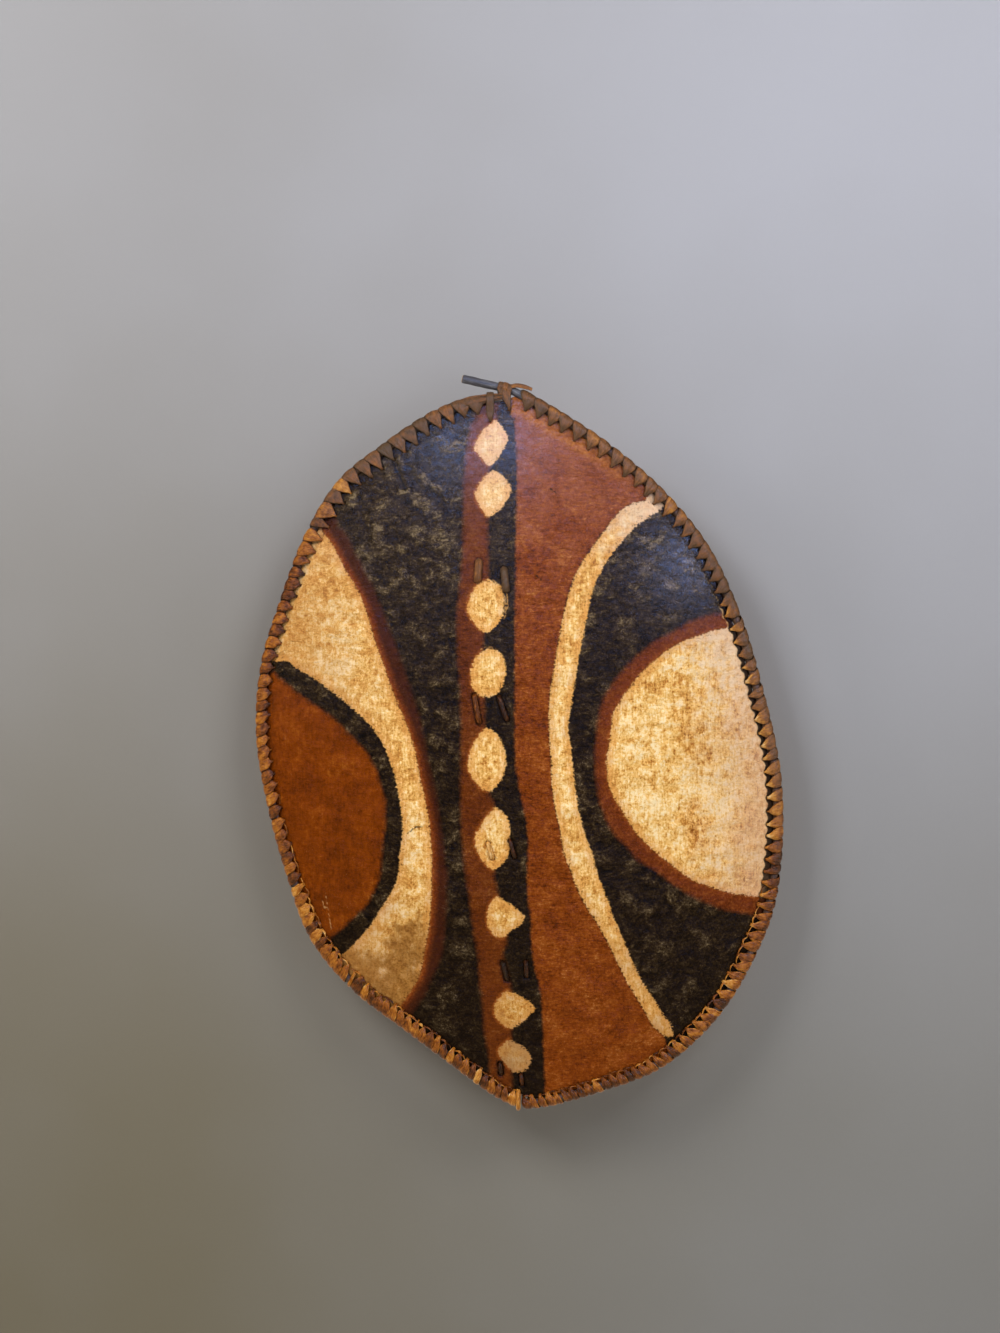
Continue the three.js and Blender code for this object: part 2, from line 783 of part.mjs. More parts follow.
function thongHole([x, z]) {
  const reach = (thongRadius + seatGap) / Math.cos(Math.PI / rodSides);
  const centre = onHide(x, z);
  const section = Array.from({ length: rodSides }, (_, side) => {
    const angle = (side + 0.5) * 2 * Math.PI / rodSides;
    return centre.clone().add(new THREE.Vector3(reach * Math.cos(angle), 0, reach * Math.sin(angle)));
  });
  return prism(section, new THREE.Vector3(0, 1, 0), cutOverrun);
}

function hideShell(holes) {
  const cutters = [
    ...turnPlaces(leftRod).map((place) => lacingHole(leftRod, place)),
    ...turnPlaces(rightRod).map((place) => lacingHole(rightRod, place)),
    ...holes.map(thongHole),
  ];
  let plate = toManifold(hidePlate());
  for (const cutter of cutters) {
    plate = plate.subtract(toManifold(cutter));
  }
  return namedMesh('hide_shell', fromManifold(plate), materials.hide);
}

const lashings = [headLashing(), ...pairedStitches.map(pairedStitch), footTie()];

const shield = new THREE.Group();
shield.add(
  hideShell(lashings.flatMap((lashing) => lashing.holes)),
  rimRod('rim_rod_left', leftRod),
  rimRod('rim_rod_right', rightRod),
  carryingStave(),
  ...lashings.map((lashing) => lashing.mesh),
  ...lacingLengths('left', leftRod),
  ...lacingLengths('right', rightRod),
);

export default shield;
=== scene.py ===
import math

import bpy
import numpy as np
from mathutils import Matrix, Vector
from mathutils.geometry import delaunay_2d_cdt


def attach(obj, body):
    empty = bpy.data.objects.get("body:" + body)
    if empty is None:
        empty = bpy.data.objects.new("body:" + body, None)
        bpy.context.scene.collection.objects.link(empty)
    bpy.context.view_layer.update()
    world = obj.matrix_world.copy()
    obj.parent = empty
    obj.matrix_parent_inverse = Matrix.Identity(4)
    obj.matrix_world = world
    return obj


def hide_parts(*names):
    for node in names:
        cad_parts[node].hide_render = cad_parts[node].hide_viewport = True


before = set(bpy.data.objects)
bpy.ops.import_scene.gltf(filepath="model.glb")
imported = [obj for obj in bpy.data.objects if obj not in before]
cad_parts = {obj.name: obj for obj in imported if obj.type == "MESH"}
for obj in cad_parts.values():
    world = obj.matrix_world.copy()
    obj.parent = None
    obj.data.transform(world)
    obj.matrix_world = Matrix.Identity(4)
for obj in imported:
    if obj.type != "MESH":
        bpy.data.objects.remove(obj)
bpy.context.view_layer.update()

# A painted hide shield, seen from the front. Lengths are millimetres until a mesh is made.
# +Z up, the painted front towards -Y, the origin at the middle of the hand grip.
MM = 0.001

# The camera: the photograph's view, in pixels of its 1000 by 1333 frame
PHOTO_HEIGHT_PX = 1333
PHOTO_MIDDLE_PX = np.array([500.0, 666.5])
SENSOR = 36
LENS = 40
FOCAL_PX = LENS / SENSOR * PHOTO_HEIGHT_PX
CAMERA = np.array([3.9, -1463.5, 109.8])

# The shield's main sizes, as in the frame
SHIELD_WIDTH = 519
SHIELD_HEIGHT = 695
MIDDLE_X = 23
MIDDLE_Z = 28
SIDE_BOW = 42
END_BOW = 18
CORNER_CURL = 10
CURL_START_SHARE = 0.5
HIDE_THICKNESS = 3.5
HALF_HIDE = HIDE_THICKNESS / 2
ROD_RADIUS = 3.8
FREE_END_LENGTH = 84
BINDING_REACH = 6.1
HALF_WIDTH = SHIELD_WIDTH / 2 - BINDING_REACH
HALF_HEIGHT = SHIELD_HEIGHT / 2 - BINDING_REACH
GRIP_RADIUS = 9.5
HAND_GAP = 36
HIDE_AT_GRIP = -(GRIP_RADIUS + HAND_GAP + HALF_HIDE)

# The rods' centre lines from foot to crown, as shares of the half width and half height
LEFT_ROD_SHARES = [
    (-0.01, -0.993), (-0.085, -0.965), (-0.235, -0.885), (-0.43, -0.78), (-0.635, -0.67),
    (-0.79, -0.535), (-0.88, -0.36), (-0.96, -0.145), (-1, 0.05), (-0.98, 0.245),
    (-0.905, 0.425), (-0.805, 0.615), (-0.675, 0.765), (-0.52, 0.855), (-0.335, 0.945),
    (-0.2, 0.985), (-0.07, 1),
]
RIGHT_ROD_SHARES = [
    (0.013, -1), (0.11, -0.99), (0.31, -0.95), (0.52, -0.895), (0.675, -0.81),
    (0.795, -0.71), (0.905, -0.57), (0.97, -0.445), (1, -0.265), (0.99, -0.06),
    (0.925, 0.155), (0.84, 0.365), (0.715, 0.565), (0.54, 0.725), (0.325, 0.86),
    (0.14, 0.95), (0.065, 0.983), (-0.03, 1.022), (-0.15, 1.045), (-0.22, 1.058),
]
FOOT_CORNER_SHARE = (0.003, -0.97)
CROWN_CORNER_SHARE = (-0.02, 1.003)

# The stave's line from head to foot, as shares from the grip, and its sizes
STAVE_HEAD_BELOW_RIM = 12.4
STAVE_FOOT_ABOVE_RIM = 21.5
STAVE_HEAD = MIDDLE_Z + HALF_HEIGHT - STAVE_HEAD_BELOW_RIM
STAVE_FOOT = MIDDLE_Z - HALF_HEIGHT + STAVE_FOOT_ABOVE_RIM
STAVE_HEAD_SHARE = 0.012
STAVE_FOOT_SHARE = 0.06
STAVE_LINE_SHARES = [(-0.015, 0.58), (-0.023, 0.2), (0, 0), (0.022, -0.19), (0.074, -0.52)]
STAVE_HEAD_RADIUS = 7
STAVE_FOOT_RADIUS = 6
GRIP_HALF_LENGTH = 28
BOW_HALF_LENGTH = 47
STAVE_SEAT = 0.9
THONG_RADIUS = 2.6
THONG_GAP = 0.35

# Painted outlines, read from the photograph, in pixels from top to bottom
LENS_EDGE_PX = [
    (274, 673), (301, 696), (326, 713), (342, 727), (356, 742), (365, 751), (375, 768),
    (381, 787), (385, 802), (385, 821), (383, 840), (381, 859), (380, 875), (373, 892),
    (366, 905), (353, 917), (341, 929), (332, 936),
]
CRESCENT_OUTER_PX = [
    (277, 662), (287, 661), (295, 667), (307, 674), (321, 683), (343, 700), (358, 713),
    (374, 729), (384, 746), (390, 761), (395, 776), (399, 796), (402, 815), (403, 834),
    (400, 853), (399, 872), (392, 892), (382, 907), (372, 924), (359, 939), (346, 952),
]
CRESCENT_INNER_PX = [
    (325, 535), (332, 544), (344, 567), (358, 591), (365, 607), (375, 640), (386, 672),
    (397, 702), (404, 718), (415, 751), (420, 777), (425, 800), (430, 830), (432, 875),
    (430, 920), (425, 950), (420, 975), (414, 986), (408, 995), (401, 1005),
]
LEFT_LINE_PX = [
    (339, 528), (346, 534), (356, 554), (374, 589), (388, 625), (399, 654), (409, 685),
    (420, 719), (428, 760), (437, 800), (441, 830), (445, 860), (447, 885), (445, 926),
    (443, 949), (440, 960), (431, 980), (426, 991), (419, 1003), (413, 1012),
]
STRIPE_LEFT_PX = [
    (476, 418), (470, 430), (464, 479), (463, 529), (462, 563), (459, 594), (457, 617),
    (458, 660), (461, 701), (461, 780), (461, 818), (463, 849), (465, 872), (468, 890),
    (471, 911), (474, 934), (478, 957), (480, 980), (483, 1007), (485, 1034), (490, 1060),
]
STRIPE_RIGHT_PX = [
    (497, 420), (489, 467), (488, 540), (488, 578), (483, 636), (484, 705), (489, 795),
    (494, 803), (494, 872), (497, 891), (507, 941), (503, 953), (510, 983), (511, 1033),
]
PANEL_LEFT_PX = [
    (514, 418), (517, 463), (516, 529), (515, 650), (516, 769), (518, 780), (522, 803),
    (526, 818), (528, 841), (527, 864), (528, 900), (531, 918), (531, 941), (534, 964),
    (539, 985), (542, 1007), (543, 1034), (545, 1083),
]
PANEL_RIGHT_PX = [
    (646, 501), (632, 504), (621, 511), (607, 527), (597, 541), (584, 560), (575, 576),
    (569, 593), (563, 618), (558, 645), (554, 670), (550, 694), (549, 730), (551, 761),
    (552, 784), (555, 807), (560, 830), (564, 853), (571, 871), (577, 888), (587, 908),
    (597, 923), (606, 939), (626, 980), (635, 995), (645, 1012), (653, 1026), (663, 1035),
]
WHITE_LINE_END_PX = (667, 1037)
WHITE_LINE_RIGHT_PX = [
    (661, 509), (649, 517), (635, 527), (623, 540), (613, 552), (604, 566), (597, 579),
    (591, 596), (587, 615), (580, 651), (576, 674), (571, 705), (568, 728), (571, 746),
    (573, 769), (576, 795), (581, 819), (586, 838), (592, 853), (598, 876), (606, 896),
    (613, 917), (623, 939), (641, 980), (653, 998), (662, 1013), (671, 1026), (673, 1035),
]
RIGHT_LINE_PX = [
    (728, 613), (708, 616), (690, 622), (673, 632), (656, 641), (641, 653), (626, 667),
    (615, 681), (606, 694), (600, 710), (597, 731), (595, 754), (596, 777), (599, 798),
    (606, 819), (615, 835), (627, 847), (639, 861), (656, 871), (673, 884), (692, 896),
    (711, 905), (731, 911), (747, 913),
]
RIGHT_LENS_PX = [
    (730, 627), (716, 630), (701, 635), (682, 642), (666, 651), (653, 662), (641, 673),
    (630, 687), (621, 700), (613, 714), (611, 731), (607, 754), (607, 773), (610, 789),
    (618, 804), (627, 819), (638, 835), (650, 847), (664, 859), (678, 870), (695, 881),
    (711, 887), (731, 893), (754, 896),
]
DIAMONDS_PX = [
    [(496, 420), (503, 428), (508, 439), (500, 455), (490, 466), (480, 456), (474, 449), (483, 431)],
    [(493, 470), (504, 477), (511, 489), (504, 505), (489, 517), (480, 507), (475, 494), (485, 477)],
    [(489, 579), (501, 588), (504, 606), (502, 618), (486, 633), (472, 620), (467, 608), (476, 586)],
    [
        (488, 648), (501, 653), (506, 669), (502, 687), (493, 696), (480, 696), (472, 686),
        (471, 672), (477, 656),
    ],
    [
        (486, 727), (497, 734), (503, 744), (506, 764), (501, 780), (488, 792), (472, 777),
        (468, 767), (473, 744),
    ],
    [(495, 807), (508, 818), (510, 837), (508, 855), (494, 870), (481, 858), (475, 840), (484, 820)],
    [(497, 896), (514, 906), (525, 919), (512, 930), (502, 938), (491, 932), (487, 921), (490, 904)],
    [(507, 990), (523, 997), (535, 1008), (524, 1020), (512, 1028), (498, 1020), (494, 1009), (498, 999)],
    [(509, 1039), (523, 1046), (531, 1056), (528, 1068), (518, 1073), (504, 1062), (498, 1050)],
]
# Ways outside the rim that close the outlines above
LENS_CLOSING_PX = [(318, 950), (270, 900), (235, 800), (235, 690)]
CRESCENT_CLOSING_BELOW_PX = [(390, 1030), (320, 975)]
CRESCENT_CLOSING_ABOVE_PX = [(240, 655), (255, 570), (300, 500)]
LINE_CLOSING_BELOW_PX = [(392, 1022), (405, 1030)]
LINE_CLOSING_ABOVE_PX = [(325, 490), (310, 500)]
STRIPE_CLOSING_BELOW_PX = [(490, 1115), (512, 1115)]
STRIPE_CLOSING_ABOVE_PX = [(500, 385), (478, 385)]
PANEL_CLOSING_BELOW_PX = [(545, 1130), (680, 1080)]
PANEL_CLOSING_ABOVE_PX = [(680, 450), (600, 390), (513, 370)]
WHITE_LINE_CLOSING_PX = [(690, 480), (660, 470)]
RIGHT_CLOSING_PX = [(800, 905), (820, 760), (760, 610)]
RIGHT_LINE_CLOSING_PX = [(790, 920), (790, 893)]
RIGHT_LINE_OPENING_PX = [(765, 625), (765, 605)]

# Dark scratches, pale scratches and thin strokes of white left by the brush
SCRATCHES_PX = [
    [(391, 457), (396, 470), (402, 481), (406, 491)],
    [(632, 551), (645, 545), (658, 537)],
    [(659, 556), (669, 551)],
    [(655, 604), (666, 612)],
    [(549, 488), (556, 493)],
    [(536, 575), (541, 580)],
    [(408, 833), (416, 827), (424, 826)],
]
PALE_SCRATCHES_PX = [
    [(326, 893), (329, 912), (332, 929)],
    [(322, 896), (325, 908)],
]
BRUSH_STROKES_PX = [
    [(493, 580), (501, 587), (505, 598), (505, 612)],
    [(499, 584), (507, 594), (508, 606), (504, 620)],
    [(480, 650), (488, 646), (496, 649)],
]

# Creases in the hide, each with its depth and half width in millimetres
CREASES_PX = [
    ([(393, 453), (398, 470), (405, 488)], 0.8, 2.0),
    ([(428, 487), (434, 492), (441, 498)], 0.7, 1.8),
    ([(383, 462), (390, 478)], -0.8, 4.0),
    ([(418, 470), (424, 480), (438, 490)], -0.9, 4.5),
    ([(404, 540), (420, 548), (440, 556)], 0.6, 3.5),
    ([(395, 575), (412, 590), (430, 596)], 0.5, 3.5),
    ([(360, 500), (366, 525), (372, 548)], 0.6, 4.0),
    ([(600, 585), (625, 592), (655, 590)], 0.5, 3.0),
    ([(625, 615), (650, 606), (668, 612)], 0.7, 3.5),
    ([(588, 470), (604, 478), (612, 488)], 0.7, 3.0),
    ([(560, 470), (575, 478), (590, 492)], 0.5, 3.5),
    ([(520, 600), (535, 606), (552, 604)], 0.5, 3.0),
    ([(524, 700), (532, 722), (540, 745)], 0.4, 3.0),
    ([(640, 760), (648, 785), (646, 810)], 0.4, 3.0),
]

# Stitches of the stave's thongs on the front, from the upper hole to the lower one
STITCHES_PX = {
    "upper": [[(479, 562), (477.5, 580)], [(504, 570), (506, 590)]],
    "above_grip": [[(474.5, 696), (479, 722)], [(499, 697.5), (506.5, 719)]],
    "below_grip": [[(488, 843.5), (492.5, 858)], [(510, 841), (514.6, 857)]],
    "lower": [[(503, 963), (507, 979)], [(526, 962), (526.5, 976)]],
    "foot": [[(500, 1064), (501, 1073)], [(521, 1075), (522, 1084)]],
}

SEED = 11


def smooth_step(share):
    share = np.clip(share, 0, 1)
    return share * share * (3 - 2 * share)


def unit(vectors):
    """The vectors at length one."""
    return vectors / np.linalg.norm(vectors, axis=-1, keepdims=True)


def run_along(path):
    """How far along the path each of its points lies."""
    return np.concatenate([[0], np.cumsum(np.linalg.norm(np.diff(path, axis=0), axis=1))])


def rows_at(places, knots, rows):
    """The rows that belong to the knots, read at the places between them."""
    return np.stack([np.interp(places, knots, column) for column in rows.T], axis=-1)


def ripples(x, z, wavelength, seed):
    """A smooth random swell of about unit height over the plane."""
    chance = np.random.default_rng(seed)
    total = np.zeros_like(x, dtype=float)
    waves = 9
    for _ in range(waves):
        angle = chance.uniform(0, math.tau)
        number = math.tau / (wavelength * chance.uniform(0.7, 1.5))
        phase = chance.uniform(0, math.tau)
        total += np.cos(number * (x * math.cos(angle) + z * math.sin(angle)) + phase)
    return total / math.sqrt(waves)


def smooth_line(points, steps):
    """A smooth curve through the points, with the given steps to each stretch."""
    points = np.asarray(points, dtype=float)
    knots = np.vstack([2 * points[:1] - points[1:2], points, 2 * points[-1:] - points[-2:-1]])
    share = np.arange(steps)[:, None] / steps
    made = []
    for a, b, c, d in zip(knots, knots[1:], knots[2:], knots[3:]):
        before, here, after = (math.sqrt(np.linalg.norm(q - p)) for p, q in ((a, b), (b, c), (c, d)))
        leave = ((b - a) / before - (c - a) / (before + here) + (c - b) / here) * here
        arrive = ((c - b) / here - (d - b) / (here + after) + (d - c) / after) * here
        square = 3 * (c - b) - 2 * leave - arrive
        cube = 2 * (b - c) + leave + arrive
        made.append(b + leave * share + square * share**2 + cube * share**3)
    return np.vstack([*made, points[-1:]])


# The hide's surface

def bow_at(x, z):
    across = (x - MIDDLE_X) / HALF_WIDTH
    up = (z - MIDDLE_Z) / HALF_HEIGHT
    to_corner = (-across - up) * math.sqrt(0.5)
    curl = np.maximum(0, (to_corner - CURL_START_SHARE) / (1 - CURL_START_SHARE))
    return SIDE_BOW * across**2 + END_BOW * up**2 + CORNER_CURL * curl**2


def hide_depth(x, z):
    return HIDE_AT_GRIP + bow_at(x, z) - bow_at(0.0, 0.0)


def hide_normal(x, z):
    probe = HIDE_THICKNESS
    slope_x = (hide_depth(x + probe, z) - hide_depth(x - probe, z)) / (2 * probe)
    slope_z = (hide_depth(x, z + probe) - hide_depth(x, z - probe)) / (2 * probe)
    return unit(np.stack([-slope_x, np.ones_like(slope_x), -slope_z], axis=-1))


def on_hide(flat):
    """Points of the plane, moved to the depth of the hide's middle."""
    return np.column_stack([flat[:, 0], hide_depth(flat[:, 0], flat[:, 1]), flat[:, 1]])


def from_middle(share):
    return np.array([MIDDLE_X + share[0] * HALF_WIDTH, MIDDLE_Z + share[1] * HALF_HEIGHT])


def on_front(pixels):
    """Where the camera's rays through the pixels meet the hide's front, as x and z."""
    pixels = np.asarray(pixels, dtype=float)
    depth = np.full(len(pixels), float(HIDE_AT_GRIP))
    rounds = 4
    for _ in range(rounds):
        reach = (depth - CAMERA[1]) / FOCAL_PX
        x = CAMERA[0] + (pixels[:, 0] - PHOTO_MIDDLE_PX[0]) * reach
        z = CAMERA[2] - (pixels[:, 1] - PHOTO_MIDDLE_PX[1]) * reach
        depth = hide_depth(x, z) - HALF_HIDE
    return np.stack([x, z], axis=1)


def edge_distance(points, start, end):
    """Distance to a straight edge in the plane."""
    edge = end - start
    away = points - start
    least_square = 1e-12
    share = np.clip(away @ edge / max(edge @ edge, least_square), 0, 1)
    return np.hypot(*(away - share[:, None] * edge).T)


def line_distance(points, line):
    """Distance to an open line in the plane."""
    return np.min([edge_distance(points, start, end) for start, end in zip(line, line[1:])], axis=0)


def signed_distance(points, outline):
    """Distance to a closed outline in the plane, positive inside."""
    least = np.full(len(points), np.inf)
    inside = np.zeros(len(points), dtype=bool)
    for start, end in zip(outline, np.roll(outline, -1, axis=0)):
        least = np.minimum(least, edge_distance(points, start, end))
        if start[1] != end[1]:
            between = (start[1] > points[:, 1]) != (end[1] > points[:, 1])
            slope = (end[0] - start[0]) / (end[1] - start[1])
            inside ^= between & (points[:, 0] < start[0] + (points[:, 1] - start[1]) * slope)
    return np.where(inside, least, -least)


# Meshes

def make_object(name, points, faces, slot="", replaces=()):
    """A mesh piece from points in millimetres. With a slot, it rides on the shield's body."""
    mesh = bpy.data.meshes.new(name)
    mesh.from_pydata(np.asarray(points) * MM, [], [tuple(map(int, face)) for face in faces])
    mesh.polygons.foreach_set("use_smooth", np.ones(len(mesh.polygons), dtype=bool))
    mesh.update()
    piece = bpy.data.objects.new(name, mesh)
    bpy.context.scene.collection.objects.link(piece)
    if slot:
        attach(piece, "root")
        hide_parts(*replaces)
    return piece


def add_measure(piece, name, values):
    """One number a point, for the material to read."""
    layer = piece.data.attributes.new(name, "FLOAT", "POINT")
    layer.data.foreach_set("value", np.asarray(values, dtype=np.float32).ravel())


def add_place(piece, name, vectors):
    """One vector a point, for the material to read."""
    layer = piece.data.attributes.new(name, "FLOAT_VECTOR", "POINT")
    layer.data.foreach_set("vector", np.asarray(vectors, dtype=np.float32).ravel())


def tube_faces(rings, sides):
    """Quads round a tube whose rings follow one another, with capped ends."""
    ring = np.arange(rings - 1)[:, None] * sides
    side = np.arange(sides)[None, :]
    onward = (side + 1) % sides
    corners = [ring + side, ring + onward, ring + sides + onward, ring + sides + side]
    quads = np.stack(corners, axis=-1).reshape(-1, 4)
    near = tuple(range(sides))
    far = tuple((rings - 1) * sides + number for number in reversed(near))
    return [*map(tuple, quads.tolist()), near, far]


def turned_out(points, faces):
    """The faces, turned so that they look out of a closed form."""
    volume = 0.0
    for face in faces:
        origin = points[face[0]]
        for b, c in zip(face[1:], face[2:]):
            volume += np.dot(origin, np.cross(points[b], points[c]))
    return faces if volume > 0 else [face[::-1] for face in faces]


def path_sides(path, first_side):
    """Two sideways directions along a path, without twist."""
    tangents = unit(np.gradient(path, axis=0))
    sides = np.empty_like(path)
    side = np.asarray(first_side, dtype=float)
    for index, tangent in enumerate(tangents):
        side = unit(side - tangent * (side @ tangent))
        sides[index] = side
    return sides, np.cross(tangents, sides)


def ringed(path, ways, reach):
    """Points of rings round a path, in its two ways, as far out as the reach says for each."""
    angles = np.arange(reach.shape[1]) * math.tau / reach.shape[1]
    side, other = ways
    points = (path[:, None, :]
              + side[:, None, :] * (np.cos(angles) * reach)[:, :, None]
              + other[:, None, :] * (np.sin(angles) * reach)[:, :, None])
    return points.reshape(-1, 3)


def even_path(points, spacing):
    """The path again, with its points a steady distance apart."""
    lengths = run_along(points)
    count = max(3, round(lengths[-1] / spacing) + 1)
    return rows_at(np.linspace(0, lengths[-1], count), lengths, points)


# The rim

class Rod:
    """One rod of the rim: its smooth centre line, and the rim's directions along it."""

    def __init__(self, side, shares):
        self.side = side
        steps = 24
        self.line = smooth_line(on_hide(np.array([from_middle(share) for share in shares])), steps)
        self.places = run_along(self.line)
        self.length = self.places[-1]
        self.tangents = np.gradient(self.line, self.places, axis=0)

    def frames(self, places):
        """Point, along, back and out directions at the places."""
        point = rows_at(places, self.places, self.line)
        along = unit(rows_at(places, self.places, self.tangents))
        back = hide_normal(point[..., 0], point[..., 2])
        back = unit(back - along * np.sum(back * along, axis=-1, keepdims=True))
        return point, along, back, np.cross(back, along) * self.side


LEFT_ROD = Rod(-1, LEFT_ROD_SHARES)
RIGHT_ROD = Rod(1, RIGHT_ROD_SHARES)

# How the lacing changes up each side. Up is a share of the half height, pitch lies between
# holes, and inset between the rod's axis and the holes. Width is a share of the pitch, blunt says
# how late the strip narrows towards its tip, slant how far its tip leads, and vary how uneven
# the turns are. Tone runs from dark to pale and tip adds to it at the tips. Fold is how far the
# hide's margin bends back, and ears is how far its cut edge stands up between the turns.
LACING_COLUMNS = (
    "up", "pitch", "inset", "width", "blunt", "slant", "vary", "tone", "tip", "fold", "ears",
)
LEFT_LACING_SHARES = np.array([
    (-1.00, 8.0, 9.5, 1.12, 2.8, 0.45, 0.34, 0.44, 0.06, 0.6, 0.6),
    (-0.79, 8.4, 11.0, 1.15, 2.8, 0.45, 0.38, 0.46, 0.08, 0.6, 0.7),
    (-0.53, 9.6, 12.0, 1.15, 2.8, 0.45, 0.38, 0.47, 0.06, 0.6, 0.7),
    (-0.30, 12.0, 9.4, 1.12, 3.6, 0.32, 0.26, 0.52, -0.06, 0.8, 0.3),
    (0.09, 12.0, 9.0, 1.12, 4.0, 0.32, 0.26, 0.50, -0.12, 0.8, 0.0),
    (0.50, 12.0, 9.6, 1.12, 3.0, 0.28, 0.24, 0.42, -0.10, 0.8, 0.0),
    (0.66, 14.0, 13.0, 1.20, 1.2, 0.12, 0.30, 0.40, 0.04, 0.8, 0.0),
    (0.87, 14.6, 15.0, 1.20, 1.1, 0.08, 0.38, 0.36, 0.06, 0.8, 0.0),
    (1.00, 14.0, 13.0, 1.18, 1.2, 0.10, 0.38, 0.36, 0.04, 0.8, 0.0),
])
RIGHT_LACING_SHARES = np.array([
    (-1.00, 8.0, 8.0, 1.04, 2.6, 0.45, 0.30, 0.41, 0.06, 0.6, 0.4),
    (-0.87, 8.6, 10.0, 1.04, 2.4, 0.45, 0.34, 0.42, 0.10, 0.8, 0.6),
    (-0.74, 10.0, 12.0, 1.06, 2.2, 0.42, 0.42, 0.41, 0.16, 1.0, 0.6),
    (-0.56, 11.0, 12.5, 1.06, 2.0, 0.38, 0.42, 0.41, 0.20, 1.2, 0.6),
    (-0.43, 12.0, 12.5, 1.08, 1.6, 0.32, 0.34, 0.42, 0.26, 1.6, 0.3),
    (-0.21, 12.5, 11.5, 1.12, 1.7, 0.30, 0.30, 0.42, 0.30, 2.6, 0.0),
    (-0.02, 13.0, 10.2, 1.12, 1.8, 0.30, 0.32, 0.40, 0.36, 3.0, 0.0),
    (0.35, 13.0, 10.0, 1.12, 1.8, 0.30, 0.32, 0.40, 0.34, 2.6, 0.0),
    (0.50, 13.0, 11.0, 1.10, 1.3, 0.30, 0.22, 0.38, 0.05, 1.6, 0.0),
    (0.68, 14.0, 12.0, 1.16, 1.3, 0.25, 0.18, 0.48, -0.06, 0.9, 0.0),
    (0.82, 14.0, 11.5, 1.16, 1.2, 0.25, 0.16, 0.50, -0.16, 0.7, 0.0),
    (0.95, 15.0, 12.5, 1.16, 1.1, 0.20, 0.16, 0.42, -0.16, 0.7, 0.0),
    (1.00, 15.0, 12.0, 1.16, 1.1, 0.20, 0.16, 0.40, -0.16, 0.7, 0.0),
])
LEFT_LACING_START = 7
LEFT_LACING_STOP = 25
RIGHT_LACING_START = 1.5
RIGHT_LACING_STOP = 71
RIGHT_EDGE_STOP = 66
UNEVEN_PITCH_SHARE = 0.12
UNEVEN_INSET = 3.0


def lacing_style(side, heights):
    """The style's columns at the heights, by name."""
    table = LEFT_LACING_SHARES if side < 0 else RIGHT_LACING_SHARES
    ups = (np.asarray(heights, dtype=float) - MIDDLE_Z) / HALF_HEIGHT
    return {
        name: np.interp(ups, table[:, 0], table[:, column])
        for column, name in enumerate(LACING_COLUMNS)
    }


class Lacing:
    """The holes of one side: their places along the rod, and the style at each."""

    def __init__(self, rod, start, stop):
        self.rod = rod
        chance = np.random.default_rng(SEED + rod.side)
        places = [start]
        while places[-1] < stop:
            height = rod.frames(np.array([places[-1]]))[0][0, 2]
            pitch = float(lacing_style(rod.side, height)["pitch"])
            places.append(places[-1] + pitch * (1 + chance.uniform(-1, 1) * UNEVEN_PITCH_SHARE))
        spread = (stop - start) / (places[-1] - start)
        self.places = start + (np.array(places) - start) * spread
        self.style = lacing_style(rod.side, rod.frames(self.places)[0][:, 2])
        uneven = chance.uniform(-1, 1, len(places)) * self.style["vary"] * UNEVEN_INSET
        self.style["inset"] = self.style["inset"] + uneven

    def phase(self, places):
        """Share of the way from one hole to the next."""
        before = np.clip(np.searchsorted(self.places, places) - 1, 0, len(self.places) - 2)
        start, stop = self.places[before], self.places[before + 1]
        return np.clip((places - start) / (stop - start), 0, 1)


LEFT_LACING = Lacing(LEFT_ROD, LEFT_LACING_START, LEFT_ROD.length - LEFT_LACING_STOP)
RIGHT_LACING = Lacing(RIGHT_ROD, RIGHT_LACING_START, RIGHT_ROD.length - RIGHT_LACING_STOP)


# The hide

EDGE_INSET = 4.3
EDGE_SPACING = 1.7
SCALLOP_DEPTH = 1.3
CREST_PAST_HOLE = 1.0
CREST_SCALLOP = 1.3
FOLD_RUN = 1.6
DEEPEST_FOLD = 3.0
MARGIN_REACH = 27
RIM_SAMPLE = 1.5
SKIN_SPACING = 2.4
MARGIN_SPACING = 1.5
MARGIN_WIDTH = 19
FINE_SPACING = 1.2
FINE_REACH = 12
CREASE_REACH = 6
SLIT_HALF_LENGTH = 1.6
SLIT_HALF_WIDTH = 0.75
THONG_HOLE_RADIUS = 2.9
TIE_HOLE_RADIUS = 1.5
THONG_HOLE_POINTS = 14
EDGE_ROUNDING = 0.5
SWELL = 0.7
SWELL_WAVELENGTH = 95
CRUMPLE = 0.46
CRUMPLE_WAVELENGTH = 30
WRINKLE = 0.8
WRINKLE_WAVELENGTH = 34
WRINKLE_SHARPNESS = 1.7
PUCKER = 0.28
PUCKER_WAVELENGTH = 11
CALM_BY_STAVE = 16
CALM_BY_RIM = 18
STAVE_SWELL = 0.5
PATCH_WAVELENGTH = 120
HEAD_HOLES = np.array([(-5.6, 346.6), (12.6, 357.4)])
FOOT_HOLE = np.array([(21.6, -300.4)])


def edge_line(lacing, start, stop):
    """The hide's cut edge beside a rod: drawn out at each hole, slack between."""
    places = np.arange(start, stop, EDGE_SPACING)
    point, _, _, out = lacing.rod.frames(places)
    slack = 0.5 - 0.5 * np.cos(math.tau * lacing.phase(places))
    fold = lacing_style(lacing.rod.side, point[:, 2])["fold"] / DEEPEST_FOLD
    inset = EDGE_INSET + SCALLOP_DEPTH * slack * np.maximum(fold, 0.25)
    line = point - out * inset[:, None]
    return line[:, [0, 2]]


